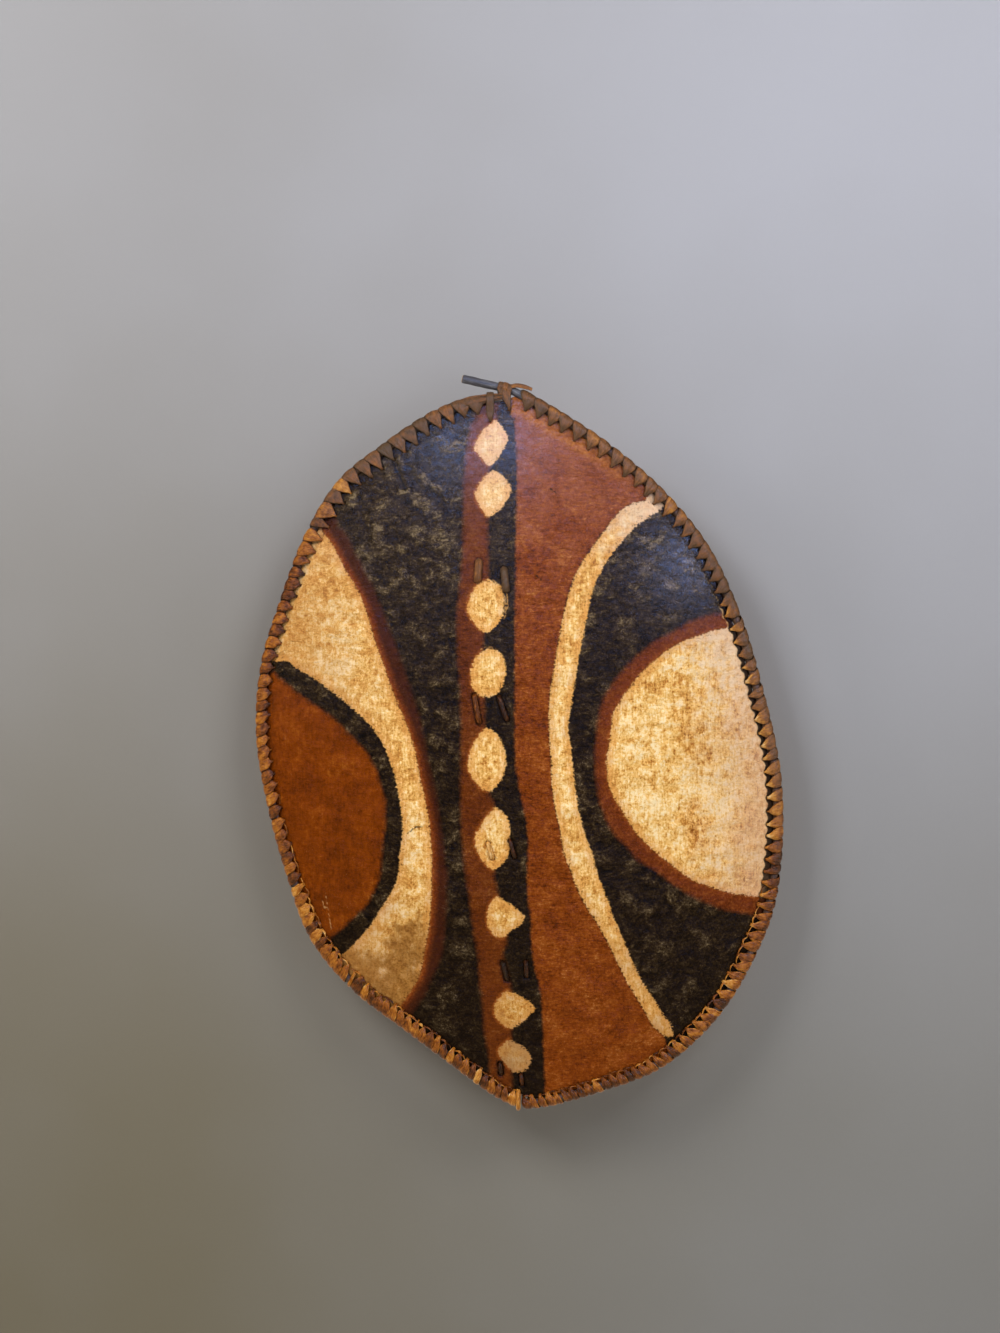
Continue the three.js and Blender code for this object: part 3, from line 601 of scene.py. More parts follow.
def hide_outline():
    start = EDGE_INSET * 2
    right = edge_line(RIGHT_LACING, start, RIGHT_ROD.length - RIGHT_EDGE_STOP)
    left = edge_line(LEFT_LACING, start, LEFT_ROD.length - start)
    foot = from_middle(FOOT_CORNER_SHARE)[None]
    crown = from_middle(CROWN_CORNER_SHARE)[None]
    return np.vstack([foot, right, crown, left[::-1]])


def slit_loops():
    """The slits that the lacing passes through, one loop of corners each."""
    corners = [(1, 1), (-1, 1), (-1, -1), (1, -1)]
    loops = []
    for lacing in (LEFT_LACING, RIGHT_LACING):
        point, along, _, out = lacing.rod.frames(lacing.places)
        centres = point - out * lacing.style["inset"][:, None]
        for centre, on, outward in zip(centres, along, out):
            loops.append(np.array([
                (centre + on * a * SLIT_HALF_LENGTH + outward * b * SLIT_HALF_WIDTH)[[0, 2]]
                for a, b in corners
            ]))
    return loops


def stitch_ends():
    """Upper and lower holes of every front stitch, in the plane."""
    return [on_front(stitch) for pair in STITCHES_PX.values() for stitch in pair]


def thong_hole_loops():
    angles = np.arange(THONG_HOLE_POINTS) * math.tau / THONG_HOLE_POINTS
    circle = np.column_stack([np.cos(angles), np.sin(angles)])
    stitched = [hole + circle * THONG_HOLE_RADIUS for hole in np.vstack(stitch_ends())]
    tied = [hole + circle * TIE_HOLE_RADIUS for hole in np.vstack([HEAD_HOLES, FOOT_HOLE])]
    return stitched + tied


def grid_points(low, high, spacing):
    """Points of a triangular grid over a box in the plane."""
    row_gap = spacing * math.sqrt(3) / 2
    rows = np.arange(low[1], high[1], row_gap)
    made = []
    for number, z in enumerate(rows):
        shift = spacing / 2 * (number % 2)
        x = np.arange(low[0] + shift, high[0], spacing)
        made.append(np.column_stack([x, np.full_like(x, z)]))
    return np.vstack(made)


def fine_lines():
    """Lines that need a finer mesh, each with its reach."""
    lines = [(line, FINE_REACH) for line in stitch_ends()]
    lines += [(on_front(line), half_width + CREASE_REACH) for line, _, half_width in CREASES_PX]
    return lines


def near_fine(points, spare=0.0):
    near = np.zeros(len(points), dtype=bool)
    for line, reach in fine_lines():
        reach += spare
        low, high = line.min(axis=0) - reach, line.max(axis=0) + reach
        close = np.flatnonzero(np.all((points > low) & (points < high), axis=1))
        near[close] |= line_distance(points[close], line) < reach
    return near


def skin_points(outline, loops):
    """Grid points inside the outline, finer by the rim, stitches and creases, clear of holes."""
    low, high = outline.min(axis=0), outline.max(axis=0)
    rough = outline[::6]
    inner = grid_points(low, high, SKIN_SPACING)
    inner = inner[signed_distance(inner, rough) > MARGIN_WIDTH]
    inner = inner[~near_fine(inner)]
    margin = grid_points(low, high, MARGIN_SPACING)
    depth = signed_distance(margin, rough)
    margin = margin[(depth > -SKIN_SPACING) & (depth <= MARGIN_WIDTH - MARGIN_SPACING / 2)]
    margin = margin[~near_fine(margin)]
    fine = grid_points(low, high, FINE_SPACING)
    fine = fine[near_fine(fine, -FINE_SPACING / 2)]
    points = np.vstack([inner, margin, fine])
    clear = EDGE_SPACING * 0.5
    near_edge = np.flatnonzero(signed_distance(points, rough) < 3 * SKIN_SPACING)
    outside = near_edge[signed_distance(points[near_edge], outline) < clear]
    keep = np.ones(len(points), dtype=bool)
    keep[outside] = False
    for loop in loops:
        centre = loop.mean(axis=0)
        reach = np.hypot(*(loop - centre).T).max() + SKIN_SPACING
        close = np.flatnonzero(np.hypot(*(points - centre).T) < reach)
        keep[close[signed_distance(points[close], loop) > -clear]] = False
    return points[keep]


def triangulated(outline, loops, inner):
    """Triangles of the hide in the plane, without its outside and its holes."""
    labels = [np.zeros(len(outline), dtype=int)]
    labels += [np.full(len(loop), number + 1) for number, loop in enumerate(loops)]
    labels.append(np.full(len(inner), -1))
    labels = np.concatenate(labels)
    points = np.vstack([outline, *loops, inner])
    edges = []
    first = 0
    for loop in (outline, *loops):
        count = len(loop)
        edges += [(first + a, first + (a + 1) % count) for a in range(count)]
        first += count
    vectors = [Vector(point) for point in points.tolist()]
    inside_only = 1
    least_gap = 1e-4
    made = delaunay_2d_cdt(vectors, edges, [], inside_only, least_gap)
    flat = np.array([tuple(vector) for vector in made[0]])
    label = np.array([labels[source[0]] if source else -1 for source in made[3]])
    triangles = np.array([face for face in made[2] if len(face) == 3])
    corners = label[triangles]
    in_hole = (corners[:, 0] > 0) & np.all(corners == corners[:, :1], axis=1)
    triangles = triangles[~in_hole]
    used = np.unique(triangles)
    renumber = np.full(len(flat), -1)
    renumber[used] = np.arange(len(used))
    return flat[used], renumber[triangles]


def boundary_edges(triangles):
    """Edges that belong to one triangle only, in that triangle's order."""
    edges = np.vstack([triangles[:, [0, 1]], triangles[:, [1, 2]], triangles[:, [2, 0]]])
    keys = np.sort(edges, axis=1)
    _, first, counts = np.unique(keys, axis=0, return_index=True, return_counts=True)
    return edges[first[counts == 1]]


def stave_x(z):
    """The stave's sideways place at a height."""
    heights = [STAVE_HEAD, *(up * HALF_HEIGHT for _, up in STAVE_LINE_SHARES), STAVE_FOOT]
    shares = [STAVE_HEAD_SHARE, *(x for x, _ in STAVE_LINE_SHARES), STAVE_FOOT_SHARE]
    heights, places = np.array(heights[::-1]), np.array(shares[::-1]) * HALF_WIDTH
    z = np.clip(np.asarray(z, dtype=float), heights[0], heights[-1])
    knot = np.clip(np.searchsorted(heights, z) - 1, 0, len(heights) - 2)
    share = smooth_step((z - heights[knot]) / (heights[knot + 1] - heights[knot]))
    return places[knot] + (places[knot + 1] - places[knot]) * share


def rim_places(flat):
    """The nearest rod's side, the place along it and the distance from it, in the plane."""
    least = np.full(len(flat), np.inf)
    side = np.zeros(len(flat), dtype=int)
    place = np.zeros(len(flat))
    at_once = 4000
    for rod in (LEFT_ROD, RIGHT_ROD):
        stop = rod.length - (RIGHT_EDGE_STOP if rod.side > 0 else 0)
        samples = np.arange(0, stop, RIM_SAMPLE)
        line = rod.frames(samples)[0][:, [0, 2]]
        for rows in np.array_split(np.arange(len(flat)), len(flat) // at_once + 1):
            away = np.hypot(flat[rows, 0, None] - line[:, 0], flat[rows, 1, None] - line[:, 1])
            nearest = away.argmin(axis=1)
            distance = away[np.arange(len(rows)), nearest]
            closer = distance < least[rows]
            least[rows[closer]] = distance[closer]
            side[rows[closer]] = rod.side
            place[rows[closer]] = samples[nearest[closer]]
    return side, place, least


def margin_shape(flat, rim):
    """How far points lie inside the crest where the margin bends back, how far back, and its share."""
    inside_crest = rim.copy()
    back = np.zeros(len(flat))
    bent = np.zeros(len(flat))
    near = np.flatnonzero(rim < MARGIN_REACH)
    side, place, distance = rim_places(flat[near])
    for lacing in (LEFT_LACING, RIGHT_LACING):
        mine = side == lacing.rod.side
        heights = lacing.rod.frames(place[mine])[0][:, 2]
        style = lacing_style(lacing.rod.side, heights)
        scallop = np.cos(math.tau * lacing.phase(place[mine])) * style["fold"] / DEEPEST_FOLD
        crest = style["inset"] + CREST_PAST_HOLE + CREST_SCALLOP * scallop
        inside = distance[mine] - crest
        inside_crest[near[mine]] = inside
        bent[near[mine]] = style["fold"] / DEEPEST_FOLD
        back[near[mine]] = style["fold"] * (1 - np.exp(-np.maximum(0, -inside) / FOLD_RUN))
    return inside_crest, back, bent


def swell_at(flat, rim):
    """The dried hide's broad swell and its crumples, still where the stave and the rods hold it."""
    by_stave = np.abs(flat[:, 0] - stave_x(flat[:, 1])) - GRIP_RADIUS
    calm = smooth_step(by_stave / CALM_BY_STAVE) * smooth_step(rim / CALM_BY_RIM)
    x, z = flat.T
    patches = smooth_step(0.5 + 0.6 * ripples(x, z, PATCH_WAVELENGTH, SEED + 3))
    folds = ripples(x, z * 0.8, WRINKLE_WAVELENGTH, SEED + 2)
    wrinkles = np.minimum(1, np.abs(folds) * WRINKLE_SHARPNESS)
    crumpled = (
        CRUMPLE * ripples(x, z, CRUMPLE_WAVELENGTH, SEED + 1)
        - WRINKLE * patches * (1 - wrinkles)
        + PUCKER * patches * ripples(x, z, PUCKER_WAVELENGTH, SEED + 4)
    )
    return calm * SWELL * ripples(x, z, SWELL_WAVELENGTH, SEED), calm * crumpled


def crease_depth(flat):
    """How far the creases press the hide back, with a low lip along both sides."""
    depth = np.zeros(len(flat))
    for line, deep, half_width in CREASES_PX:
        distance = line_distance(flat, on_front(line))
        depth += deep * np.exp(-(distance / half_width) ** 2)
        depth -= 0.4 * deep * np.exp(-((distance - 2.2 * half_width) / half_width) ** 2)
    return depth


STITCH_GROOVE = 1.0
STITCH_GROOVE_REACH = 3.4
HOLE_DENT = 1.4
HOLE_DENT_REACH = 4.0
SLIT_DENT = 0.6
SLIT_DENT_REACH = 3.0
LIP_RISE = 0.45
LIP_REACH = 7.0


def stitch_dents(flat):
    """How far the front is pressed in under and round the stitches, and raised by the stave."""
    dent = np.zeros(len(flat))
    for line in stitch_ends():
        distance = line_distance(flat, line)
        dent = np.maximum(dent, STITCH_GROOVE * np.exp(-(distance / STITCH_GROOVE_REACH) ** 2))
        dent -= LIP_RISE * np.exp(-((distance - LIP_REACH) / STITCH_GROOVE_REACH) ** 2)
    for hole in np.vstack([*stitch_ends(), HEAD_HOLES, FOOT_HOLE]):
        distance = np.hypot(*(flat - hole).T)
        dent = np.maximum(dent, HOLE_DENT * np.exp(-(distance / HOLE_DENT_REACH) ** 2))
    from_stave = np.abs(flat[:, 0] - stave_x(flat[:, 1]))
    return dent - STAVE_SWELL * np.exp(-(from_stave / (2 * GRIP_RADIUS)) ** 4)


def slit_dents(flat, loops):
    dent = np.zeros(len(flat))
    reach = 3 * SLIT_DENT_REACH
    for loop in loops:
        centre = loop.mean(axis=0)
        near = np.flatnonzero(np.max(np.abs(flat - centre), axis=1) < reach)
        distance = np.hypot(*(flat[near] - centre).T)
        dent[near] = np.maximum(dent[near], SLIT_DENT * np.exp(-(distance / SLIT_DENT_REACH) ** 2))
    return dent


def joined(*ways):
    """One closed outline from painted lines, smoothed, and the short ways that close it."""
    steps = 4
    longest_way = 4
    return np.vstack([
        on_front(smooth_line(way, steps) if len(way) > longest_way else way) for way in ways
    ])


# The lines that close round each painted field, by the measure that they give
FIELDS_PX = {
    "white_edge": [
        (CRESCENT_INNER_PX, CRESCENT_CLOSING_BELOW_PX, CRESCENT_OUTER_PX[::-1], CRESCENT_CLOSING_ABOVE_PX),
        (PANEL_RIGHT_PX, [WHITE_LINE_END_PX], WHITE_LINE_RIGHT_PX[::-1], WHITE_LINE_CLOSING_PX),
        (RIGHT_LENS_PX, RIGHT_CLOSING_PX),
    ],
    "line_edge": [
        (CRESCENT_INNER_PX, LINE_CLOSING_BELOW_PX, LEFT_LINE_PX[::-1], LINE_CLOSING_ABOVE_PX),
        (RIGHT_LINE_PX, RIGHT_LINE_CLOSING_PX, RIGHT_LENS_PX[::-1], RIGHT_LINE_OPENING_PX),
    ],
    "panel_edge": [(PANEL_LEFT_PX, PANEL_CLOSING_BELOW_PX, PANEL_RIGHT_PX[::-1], PANEL_CLOSING_ABOVE_PX)],
    "stripe_edge": [
        (STRIPE_LEFT_PX, STRIPE_CLOSING_BELOW_PX, STRIPE_RIGHT_PX[::-1], STRIPE_CLOSING_ABOVE_PX),
    ],
    "lens_edge": [(LENS_EDGE_PX, LENS_CLOSING_PX)],
}


def painted_measures(flat):
    """Signed distances to the painted fields and distances from the fine marks, by name."""
    outlines = {name: [joined(*ways) for ways in fields] for name, fields in FIELDS_PX.items()}
    diamond_steps = 3
    outlines["white_edge"] += [
        on_front(smooth_line([*corners, corners[0]], diamond_steps)[:-1]) for corners in DIAMONDS_PX
    ]
    marks = {
        "scratch_edge": [on_front(line) for line in SCRATCHES_PX],
        "pale_scratch_edge": [on_front(line) for line in PALE_SCRATCHES_PX],
        "stroke_edge": [on_front(line) for line in BRUSH_STROKES_PX],
        "stitch_distance": stitch_ends(),
    }
    measures = {
        name: np.max([signed_distance(flat, outline) for outline in fields], axis=0)
        for name, fields in outlines.items()
    }
    for name, lines in marks.items():
        measures[name] = np.min([line_distance(flat, line) for line in lines], axis=0)
    return measures


def edge_ways(flat, triangles, edges):
    """The points on the boundary, the way outward from each in the plane, and how faces wind."""
    outward = np.zeros((len(flat), 2))
    across = flat[edges[:, 1]] - flat[edges[:, 0]]
    sideways = np.column_stack([across[:, 1], -across[:, 0]])
    np.add.at(outward, edges[:, 0], sideways)
    np.add.at(outward, edges[:, 1], sideways)
    points = np.unique(edges)
    first, second, third = flat[triangles[0]]
    winding = np.sign(np.cross(second - first, third - first))
    return points, unit(outward[points]) * winding, winding


POLISHED_PX = [(452, 443), (689, 560), (505, 440)]
POLISHED_REACH = 44
BARE_FROM_X = 13
BARE_FROM_UP_SHARE = 0.72
BARE_RUN_UP_SHARE = 0.16


def painted_hide():
    """The hide: front and back skins, holes, and a rounded cut edge."""
    outline = hide_outline()
    slits = slit_loops()
    loops = slits + thong_hole_loops()
    flat, triangles = triangulated(outline, loops, skin_points(outline, loops))
    x, z = flat.T
    rim = signed_distance(flat, outline[::4])
    inside_crest, folded, bent = margin_shape(flat, rim)
    swell, crumpled = swell_at(flat, rim)
    creases = crease_depth(flat)
    middle = on_hide(flat)
    middle[:, 1] += folded + swell + crumpled + creases * smooth_step(rim / CALM_BY_RIM)
    dent = stitch_dents(flat) + slit_dents(flat, slits)
    normal = hide_normal(x, z)
    front = middle - normal * (HALF_HIDE - dent)[:, None]
    rear = middle + normal * HALF_HIDE
    edges = boundary_edges(triangles)
    rim_points, outward, winding = edge_ways(flat, triangles, edges)
    between = middle[rim_points].copy()
    between[:, [0, 2]] += outward * EDGE_ROUNDING
    count = len(flat)
    number = np.full(count, -1)
    number[rim_points] = 2 * count + np.arange(len(rim_points))
    a, b = edges.T
    faces = [*triangles[:, ::-1].tolist(), *(triangles + count).tolist()]
    faces += np.column_stack([a, b, number[b], number[a]]).tolist()
    faces += np.column_stack([number[a], number[b], b + count, a + count]).tolist()
    if winding < 0:
        faces = [face[::-1] for face in faces]
    points = np.vstack([front, rear, between])
    piece = make_object("painted_hide", points, faces, slot="painted_hide", replaces=["hide_shell"])
    up = (z - MIDDLE_Z) / HALF_HEIGHT
    from_polished = [np.hypot(*(flat - place).T) / POLISHED_REACH for place in on_front(POLISHED_PX)]
    measures = painted_measures(flat) | {
        "crest_edge": inside_crest,
        "bent": bent,
        "up": up,
        "across": (x - MIDDLE_X) / HALF_WIDTH,
        "ridge": -crumpled - creases,
        "bare": smooth_step((up - BARE_FROM_UP_SHARE) / BARE_RUN_UP_SHARE)
        * smooth_step((x - BARE_FROM_X) / ROD_RADIUS),
        "polished": np.exp(-np.min(from_polished, axis=0) ** 2),
        "right_side": smooth_step((x - MIDDLE_X) / GRIP_RADIUS),
    }
    for name, values in measures.items():
        add_measure(piece, name, np.concatenate([values, values, values[rim_points]]))
    behind = np.concatenate([np.zeros(count), np.ones(count), np.full(len(rim_points), 0.5)])
    add_measure(piece, "behind", behind)
    return piece


# The rods

ROD_SIDES = 16
ROD_SPACING = 3
ROD_UNEVEN = 0.14
ROD_KNOT = 0.35
ROD_END_ROUNDING = 1.2
FREE_END_RADIUS = 4.1


ROD_UNEVEN_WAVELENGTH = 12
END_POINT_SHARES = np.array([0.12, 0.4, 0.75])


def end_rounded(path, radii, rounding):
    """The radii, drawn in at both ends of the path."""
    lengths = run_along(path)
    from_end = np.minimum(lengths, lengths[-1] - lengths)
    share = np.clip(from_end / rounding, 0, 1)
    return radii * (0.72 + 0.28 * np.sqrt(1 - (1 - share) ** 2))


def with_end_points(path, rounding):
    """Extra points near both ends, so that the rounding has its shape."""
    places = (END_POINT_SHARES * rounding)[:, None]
    start = path[0] + unit(path[1] - path[0]) * places
    stop = path[-1] + unit(path[-2] - path[-1]) * places[::-1]
    return np.vstack([path[:1], start, path[1:-1], stop, path[-1:]])


def round_solid(path, radii, sides, first_side, uneven, seed):
    """Points of a tube with the radii, a little uneven."""
    shape = (len(path), sides)
    angles = np.arange(sides) * math.tau / sides
    round_way = np.broadcast_to(np.cos(angles)[None, :] * radii.mean() * 3, shape)
    long_way = np.broadcast_to(run_along(path)[:, None], shape)
    rough = ripples(round_way, long_way, ROD_UNEVEN_WAVELENGTH, seed)
    return ringed(path, path_sides(path, first_side), radii[:, None] * np.ones(sides) + uneven * rough)


def wooden_piece(name, slot, node, path, points, sides, radius):
    """A stick from the points of its rings, with the grain's place at each, and how far along each is."""
    piece = make_object(
        name, points, turned_out(points, tube_faces(len(path), sides)), slot=slot, replaces=[node])
    turns = np.tile(np.arange(sides) * math.tau / sides, len(path))
    along = np.repeat(run_along(path), sides)
    add_place(piece, "grain_place", np.stack([np.cos(turns) * radius, np.sin(turns) * radius, along], axis=1))
    return piece, along


def rim_rod(name, rod, node, knots):
    places = np.linspace(0, rod.length, round(rod.length / ROD_SPACING))
    path = with_end_points(rod.frames(places)[0], ROD_END_ROUNDING)
    lengths = run_along(path)
    radii = np.full(len(path), float(ROD_RADIUS))
    if rod.side > 0:
        free = smooth_step((lengths - (rod.length - FREE_END_LENGTH)) / FREE_END_LENGTH)
        radii += (FREE_END_RADIUS - ROD_RADIUS) * free
    for knot in knots:
        radii += ROD_KNOT * np.exp(-((lengths - knot * rod.length) / ROD_RADIUS) ** 2)
    radii = end_rounded(path, radii, ROD_END_ROUNDING)
    back = rod.frames(np.array([0.0]))[2][0]
    points = round_solid(path, radii, ROD_SIDES, back, ROD_UNEVEN, SEED + rod.side)
    piece, along = wooden_piece(name, "rim_wood", node, path, points, ROD_SIDES, ROD_RADIUS)
    add_measure(piece, "from_end", along[-1] - along)
    return piece


# The lacing

STRIP_THICKNESS = 0.9
STRIP_PINCH = 2.6
STRIP_TOP_POINTS = 15
STRIP_STEPS = 3
STRIP_CLEAR = 0.35
STRIP_RADIUS = ROD_RADIUS + STRIP_CLEAR + STRIP_THICKNESS / 2
STRIP_TUCK = 0.3
STRIP_TILT = 0.8
STRIP_CROWN = 0.95
STRIP_PLEAT = 0.55
TIP_RUN = 1.2
TIP_CLEAR = 0.7
TIP_PUFF = 0.5
NARROWING_SHARE = 0.86
CLOSING_RUN_SHARE = 0.8


STRIP_TOP_OUT = 0.2
STRIP_UNEVEN_LIFT = 0.5
PLEAT_WIDTH_SHARE = 0.15


def strip_section():
    """A flat strip's section: the share across, and which face, round the ring."""
    top = np.linspace(-1, 1, STRIP_TOP_POINTS)
    faces = np.concatenate([np.ones(STRIP_TOP_POINTS), -np.ones(STRIP_TOP_POINTS - 2)])
    return np.concatenate([top, top[-2:0:-1]]), faces


class Ribbons:
    """Closed flat strips that together make one piece, with their measures."""

    def __init__(self):
        self.points = []
        self.faces = []
        self.measures = {"tone": [], "strip_edge": [], "bunch": []}
        self.places = []
        self.count = 0

    def add(self, centre, wide, face, width, thickness, tone, bunch=0.0, tilt=0.0, crown=0.0,
            pleats=(), pleat_depth=0.0):
        """One strip. Wide and face are directions at each centre, the rest may change along it."""
        across, side = strip_section()
        shape = (len(centre), len(across))

        def column(value):
            return np.broadcast_to(np.asarray(value, dtype=float).reshape(-1, 1), (len(centre), 1))

        edge = np.abs(across)[None, :]
        offset = column(thickness) / 2 * side * np.sqrt(1 - 0.9 * edge**4)
        offset = offset + column(tilt) * (across[None, :] * 0.5 + 0.15) + column(crown) * (1 - edge**2)
        for place, size in pleats:
            groove = np.exp(-((across[None, :] - column(place)) / PLEAT_WIDTH_SHARE) ** 2)
            offset = offset - column(pleat_depth) * column(size) * groove * (1 - edge**4)
        sideways = across[None, :] * column(width) / 2
        points = (
            centre[:, None] + wide[:, None] * sideways[..., None] + face[:, None] * offset[..., None]
        ).reshape(-1, 3)
        faces = turned_out(points, tube_faces(*shape))
        self.faces += [tuple(self.count + sheen_corner for sheen_corner in corners) for corners in faces]
        self.points.append(points)
        for name, value in (("tone", column(tone)), ("strip_edge", edge), ("bunch", column(bunch))):
            self.measures[name].append(np.broadcast_to(value, shape).ravel())
        along = np.broadcast_to(run_along(centre)[:, None], shape)
        apart = np.full(shape, self.count * 0.37)
        self.places.append(np.stack([sideways, along, apart], axis=-1).reshape(-1, 3))
        self.count += len(points)

    def piece(self, name, slot, nodes):
        made = make_object(name, np.vstack(self.points), self.faces, slot=slot, replaces=nodes)
        for key, values in self.measures.items():
            add_measure(made, key, np.concatenate(values))
        add_place(made, "strip_place", np.vstack(self.places))
        return made


def wrap_route(style, following, chance):
    """One turn: outward, backward and onward places, width, bunching, tone and pleats."""
    vary = style["vary"]
    width = style["pitch"] * style["width"] * (1 + 0.35 * vary * chance.normal())
    inset = style["inset"]
    radius = STRIP_RADIUS
    slant = radius * math.sqrt(0.5)
    lead = style["slant"]
    drift = 0.3 * vary * chance.normal()
    fold = style["fold"] * 0.8
    lift = STRIP_UNEVEN_LIFT * vary * abs(chance.normal())
    front = fold - HALF_HIDE - TIP_CLEAR - lift
    rear = HALF_HIDE + following["fold"] * 0.8 + TIP_CLEAR
    pinch = STRIP_PINCH * (1 + 0.6 * vary * chance.normal())
    tone = style["tone"] + 0.28 * vary * chance.normal()
    tip = style["tip"] * (1 + 0.35 * chance.normal())

    def narrowed(share):
        return max(pinch, width * (1 - NARROWING_SHARE * share ** style["blunt"]))

    rows = [
        (-inset, fold * 0.8, 0.0, pinch, 1.0, tone + tip * 0.4),
        (TIP_RUN - inset, front, 0.0, pinch * 1.1, 0.9, tone + tip),
    ]
    for share in (0.8, 0.55, 0.28):
        out = -(inset - TIP_RUN) * share
        back = front * share - radius * (1 - share) - TIP_PUFF * math.sin(math.pi * share)
        on = lead * (1 - share) * 0.55 + drift * (1 - share)
        rows.append((out, back, on, narrowed(share), 0.7 * share**3, tone + tip * share**1.4))
    on = lead * 0.55 + drift
    left = 1 - lead
    next_inset = following["inset"]
    rows += [
        (STRIP_TOP_OUT, -radius, on, width, 0, tone),
        (slant, -slant, (on + lead) / 2, width, 0, tone),
        (radius, 0, lead, width, 0, tone),
        (slant, slant, lead + left * 0.2, width, 0, tone),
        (0, radius, lead + left * 0.4, width * 0.9, 0, tone),
        (-next_inset * 0.5, max(radius * 0.8, rear), lead + left * 0.72, width * 0.55, 0.3, tone),
        (TIP_RUN - next_inset, rear, 0.98, pinch * 1.2, 0.8, tone),
    ]
    return np.array(rows)


def wound_strip(ribbons, lacing, first, last, chance, closing):
    """The strip that winds through the holes from the first to the last. Closing adds a turn."""
    rod = lacing.rod
    heading = rod.side
    numbers = np.arange(first, last + 1)[::heading]
    turns = list(zip(numbers, numbers[1:]))
    if closing:
        turns.append((numbers[-1], numbers[-1]))
    rows = []
    for here, onward in turns:
        style, following = (
            {name: float(values[number]) for name, values in lacing.style.items()}
            for number in (here, onward)
        )
        route = wrap_route(style, following, chance)
        gap = lacing.places[onward] - lacing.places[here]
        if onward == here:
            gap = heading * min(style["pitch"], lacing.places[here] * CLOSING_RUN_SHARE)
        route[:, 2] = lacing.places[here] + route[:, 2] * gap
        turn_pleats = chance.uniform((-0.75, -0.1, 0.3), (-0.1, 0.4, 0.8))
        depth = 0.35 + 2.2 * style["vary"]
        rows.append(np.hstack([route, np.tile([*turn_pleats, depth], (len(route), 1))]))
    rows = np.vstack(rows)
    smooth = smooth_line(rows[:, :3], STRIP_STEPS)
    spread = np.linspace(0, len(rows) - 1, len(smooth))
    width, bunch, tone, *turn_pleats, depth = rows_at(spread, np.arange(len(rows)), rows[:, 3:]).T
    outward, backward, places = smooth.T
    point, along, back, out = rod.frames(places)
    centre = point + out * outward[:, None] + back * backward[:, None]
    slope = np.gradient(smooth[:, :2], axis=0)
    slope /= np.maximum(np.linalg.norm(slope, axis=1, keepdims=True), 1e-9)
    face = out * slope[:, 1:2] - back * slope[:, :1]
    open_share = 1 - bunch
    pleated = 0.25 + np.abs(backward) / STRIP_RADIUS * 0.75
    ribbons.add(
        centre, along * heading, face, width, STRIP_THICKNESS * (1 + 0.7 * bunch), tone, bunch,
        tilt=(STRIP_TILT + STRIP_TUCK) * open_share, crown=STRIP_CROWN * (0.3 + open_share),
        pleats=list(zip(turn_pleats, (1.0, 0.7, 0.8))), pleat_depth=STRIP_PLEAT * depth * pleated)


EAR_LENGTH_SHARE = 0.62
EAR_WIDTH = 3.4
EAR_THICKNESS = 0.55
EAR_BULGE = 2.0
EAR_INSET = 1.5
EAR_CLEAR = 0.1
EAR_CROWN = 0.6
EAR_PLEAT = 0.3
EAR_POINTS = 11
EAR_TONE = 0.16


def margin_ears(ribbons, lacing, first, last, chance):
    """Curled bits of the hide's cut edge, which stand up between the turns."""
    share = np.linspace(-1, 1, EAR_POINTS)
    arch = np.cos(share * math.pi / 2)
    for number in range(first, last):
        pitch, hole_inset, hole_tone, ears = (
            lacing.style[name][number] for name in ("pitch", "inset", "tone", "ears"))
        if ears < chance.uniform(0.1, 0.45):
            continue
        place = lacing.places[number] + pitch * chance.uniform(0.2, 0.8)
        places = place + share * pitch * EAR_LENGTH_SHARE * chance.uniform(0.6, 1.0)
        point, along, back, out = lacing.rod.frames(places)
        inset = hole_inset - EAR_INSET + EAR_BULGE * arch * chance.uniform(0.5, 1.4)
        width = EAR_WIDTH * ears * chance.uniform(0.6, 1.2) * (0.35 + 0.65 * arch)
        height = HALF_HIDE + EAR_CLEAR + width * 0.35
        lean = chance.uniform(-0.2, 1.1)
        centre = point - out * inset[:, None] - back * height[:, None]
        wide = unit(-back + out * lean * arch[:, None])
        tone = hole_tone + EAR_TONE * chance.uniform(-1.2, 1.6)
        ribbons.add(
            centre, wide, np.cross(along, wide), width, EAR_THICKNESS, tone,
            crown=EAR_CROWN * chance.uniform(-1, 1),
            pleats=[(chance.uniform(-0.5, 0.5), 1.0)], pleat_depth=EAR_PLEAT)


LENGTH_NAMES = ("foot", "lower", "middle", "shoulder", "crown")


def side_lacing(side_name, lacing):
    """All the lengths of one side, each from the hole where the one before it ends."""
    final = len(lacing.places) - 1
    cuts = np.linspace(0, final, len(LENGTH_NAMES) + 1).round().astype(int)
    chance = np.random.default_rng(SEED + 20 + lacing.rod.side)
    made = []
    for name, first, last in zip(LENGTH_NAMES, cuts, cuts[1:]):
        ribbons = Ribbons()
        end = last if lacing.rod.side > 0 else first
        wound_strip(ribbons, lacing, first, last, chance, end in (0, final))
        margin_ears(ribbons, lacing, first, last, chance)
        if side_name == "left" and name == "crown":
            crown_bundle(ribbons)
        node = f"lacing_{side_name}_{name}"
        made.append(ribbons.piece(f"{side_name}_{name}_wraps", "lacing_hide", [node]))
    return made


# Start angle and turn in degrees from the rod's front outwards, layer and tone of each strip
CROWN_STRIPS = [
    (80, -20, 0.2, 0.30), (48, -12, 1.1, 0.42), (18, 10, 0.4, 0.26), (-16, 16, 1.2, 0.38),
    (-46, 30, 0.3, 0.30),
]
CROWN_STRIP_LENGTH = 36
CROWN_STRIP_PAST_END = 1
CROWN_STRIP_WIDTH = 3.6
CROWN_STRIP_POINTS = 16
CROWN_STRIP_DROP = 0.9
CROWN_STRIP_CROWN = 0.3
CROWN_STRIP_PLEAT = 0.25


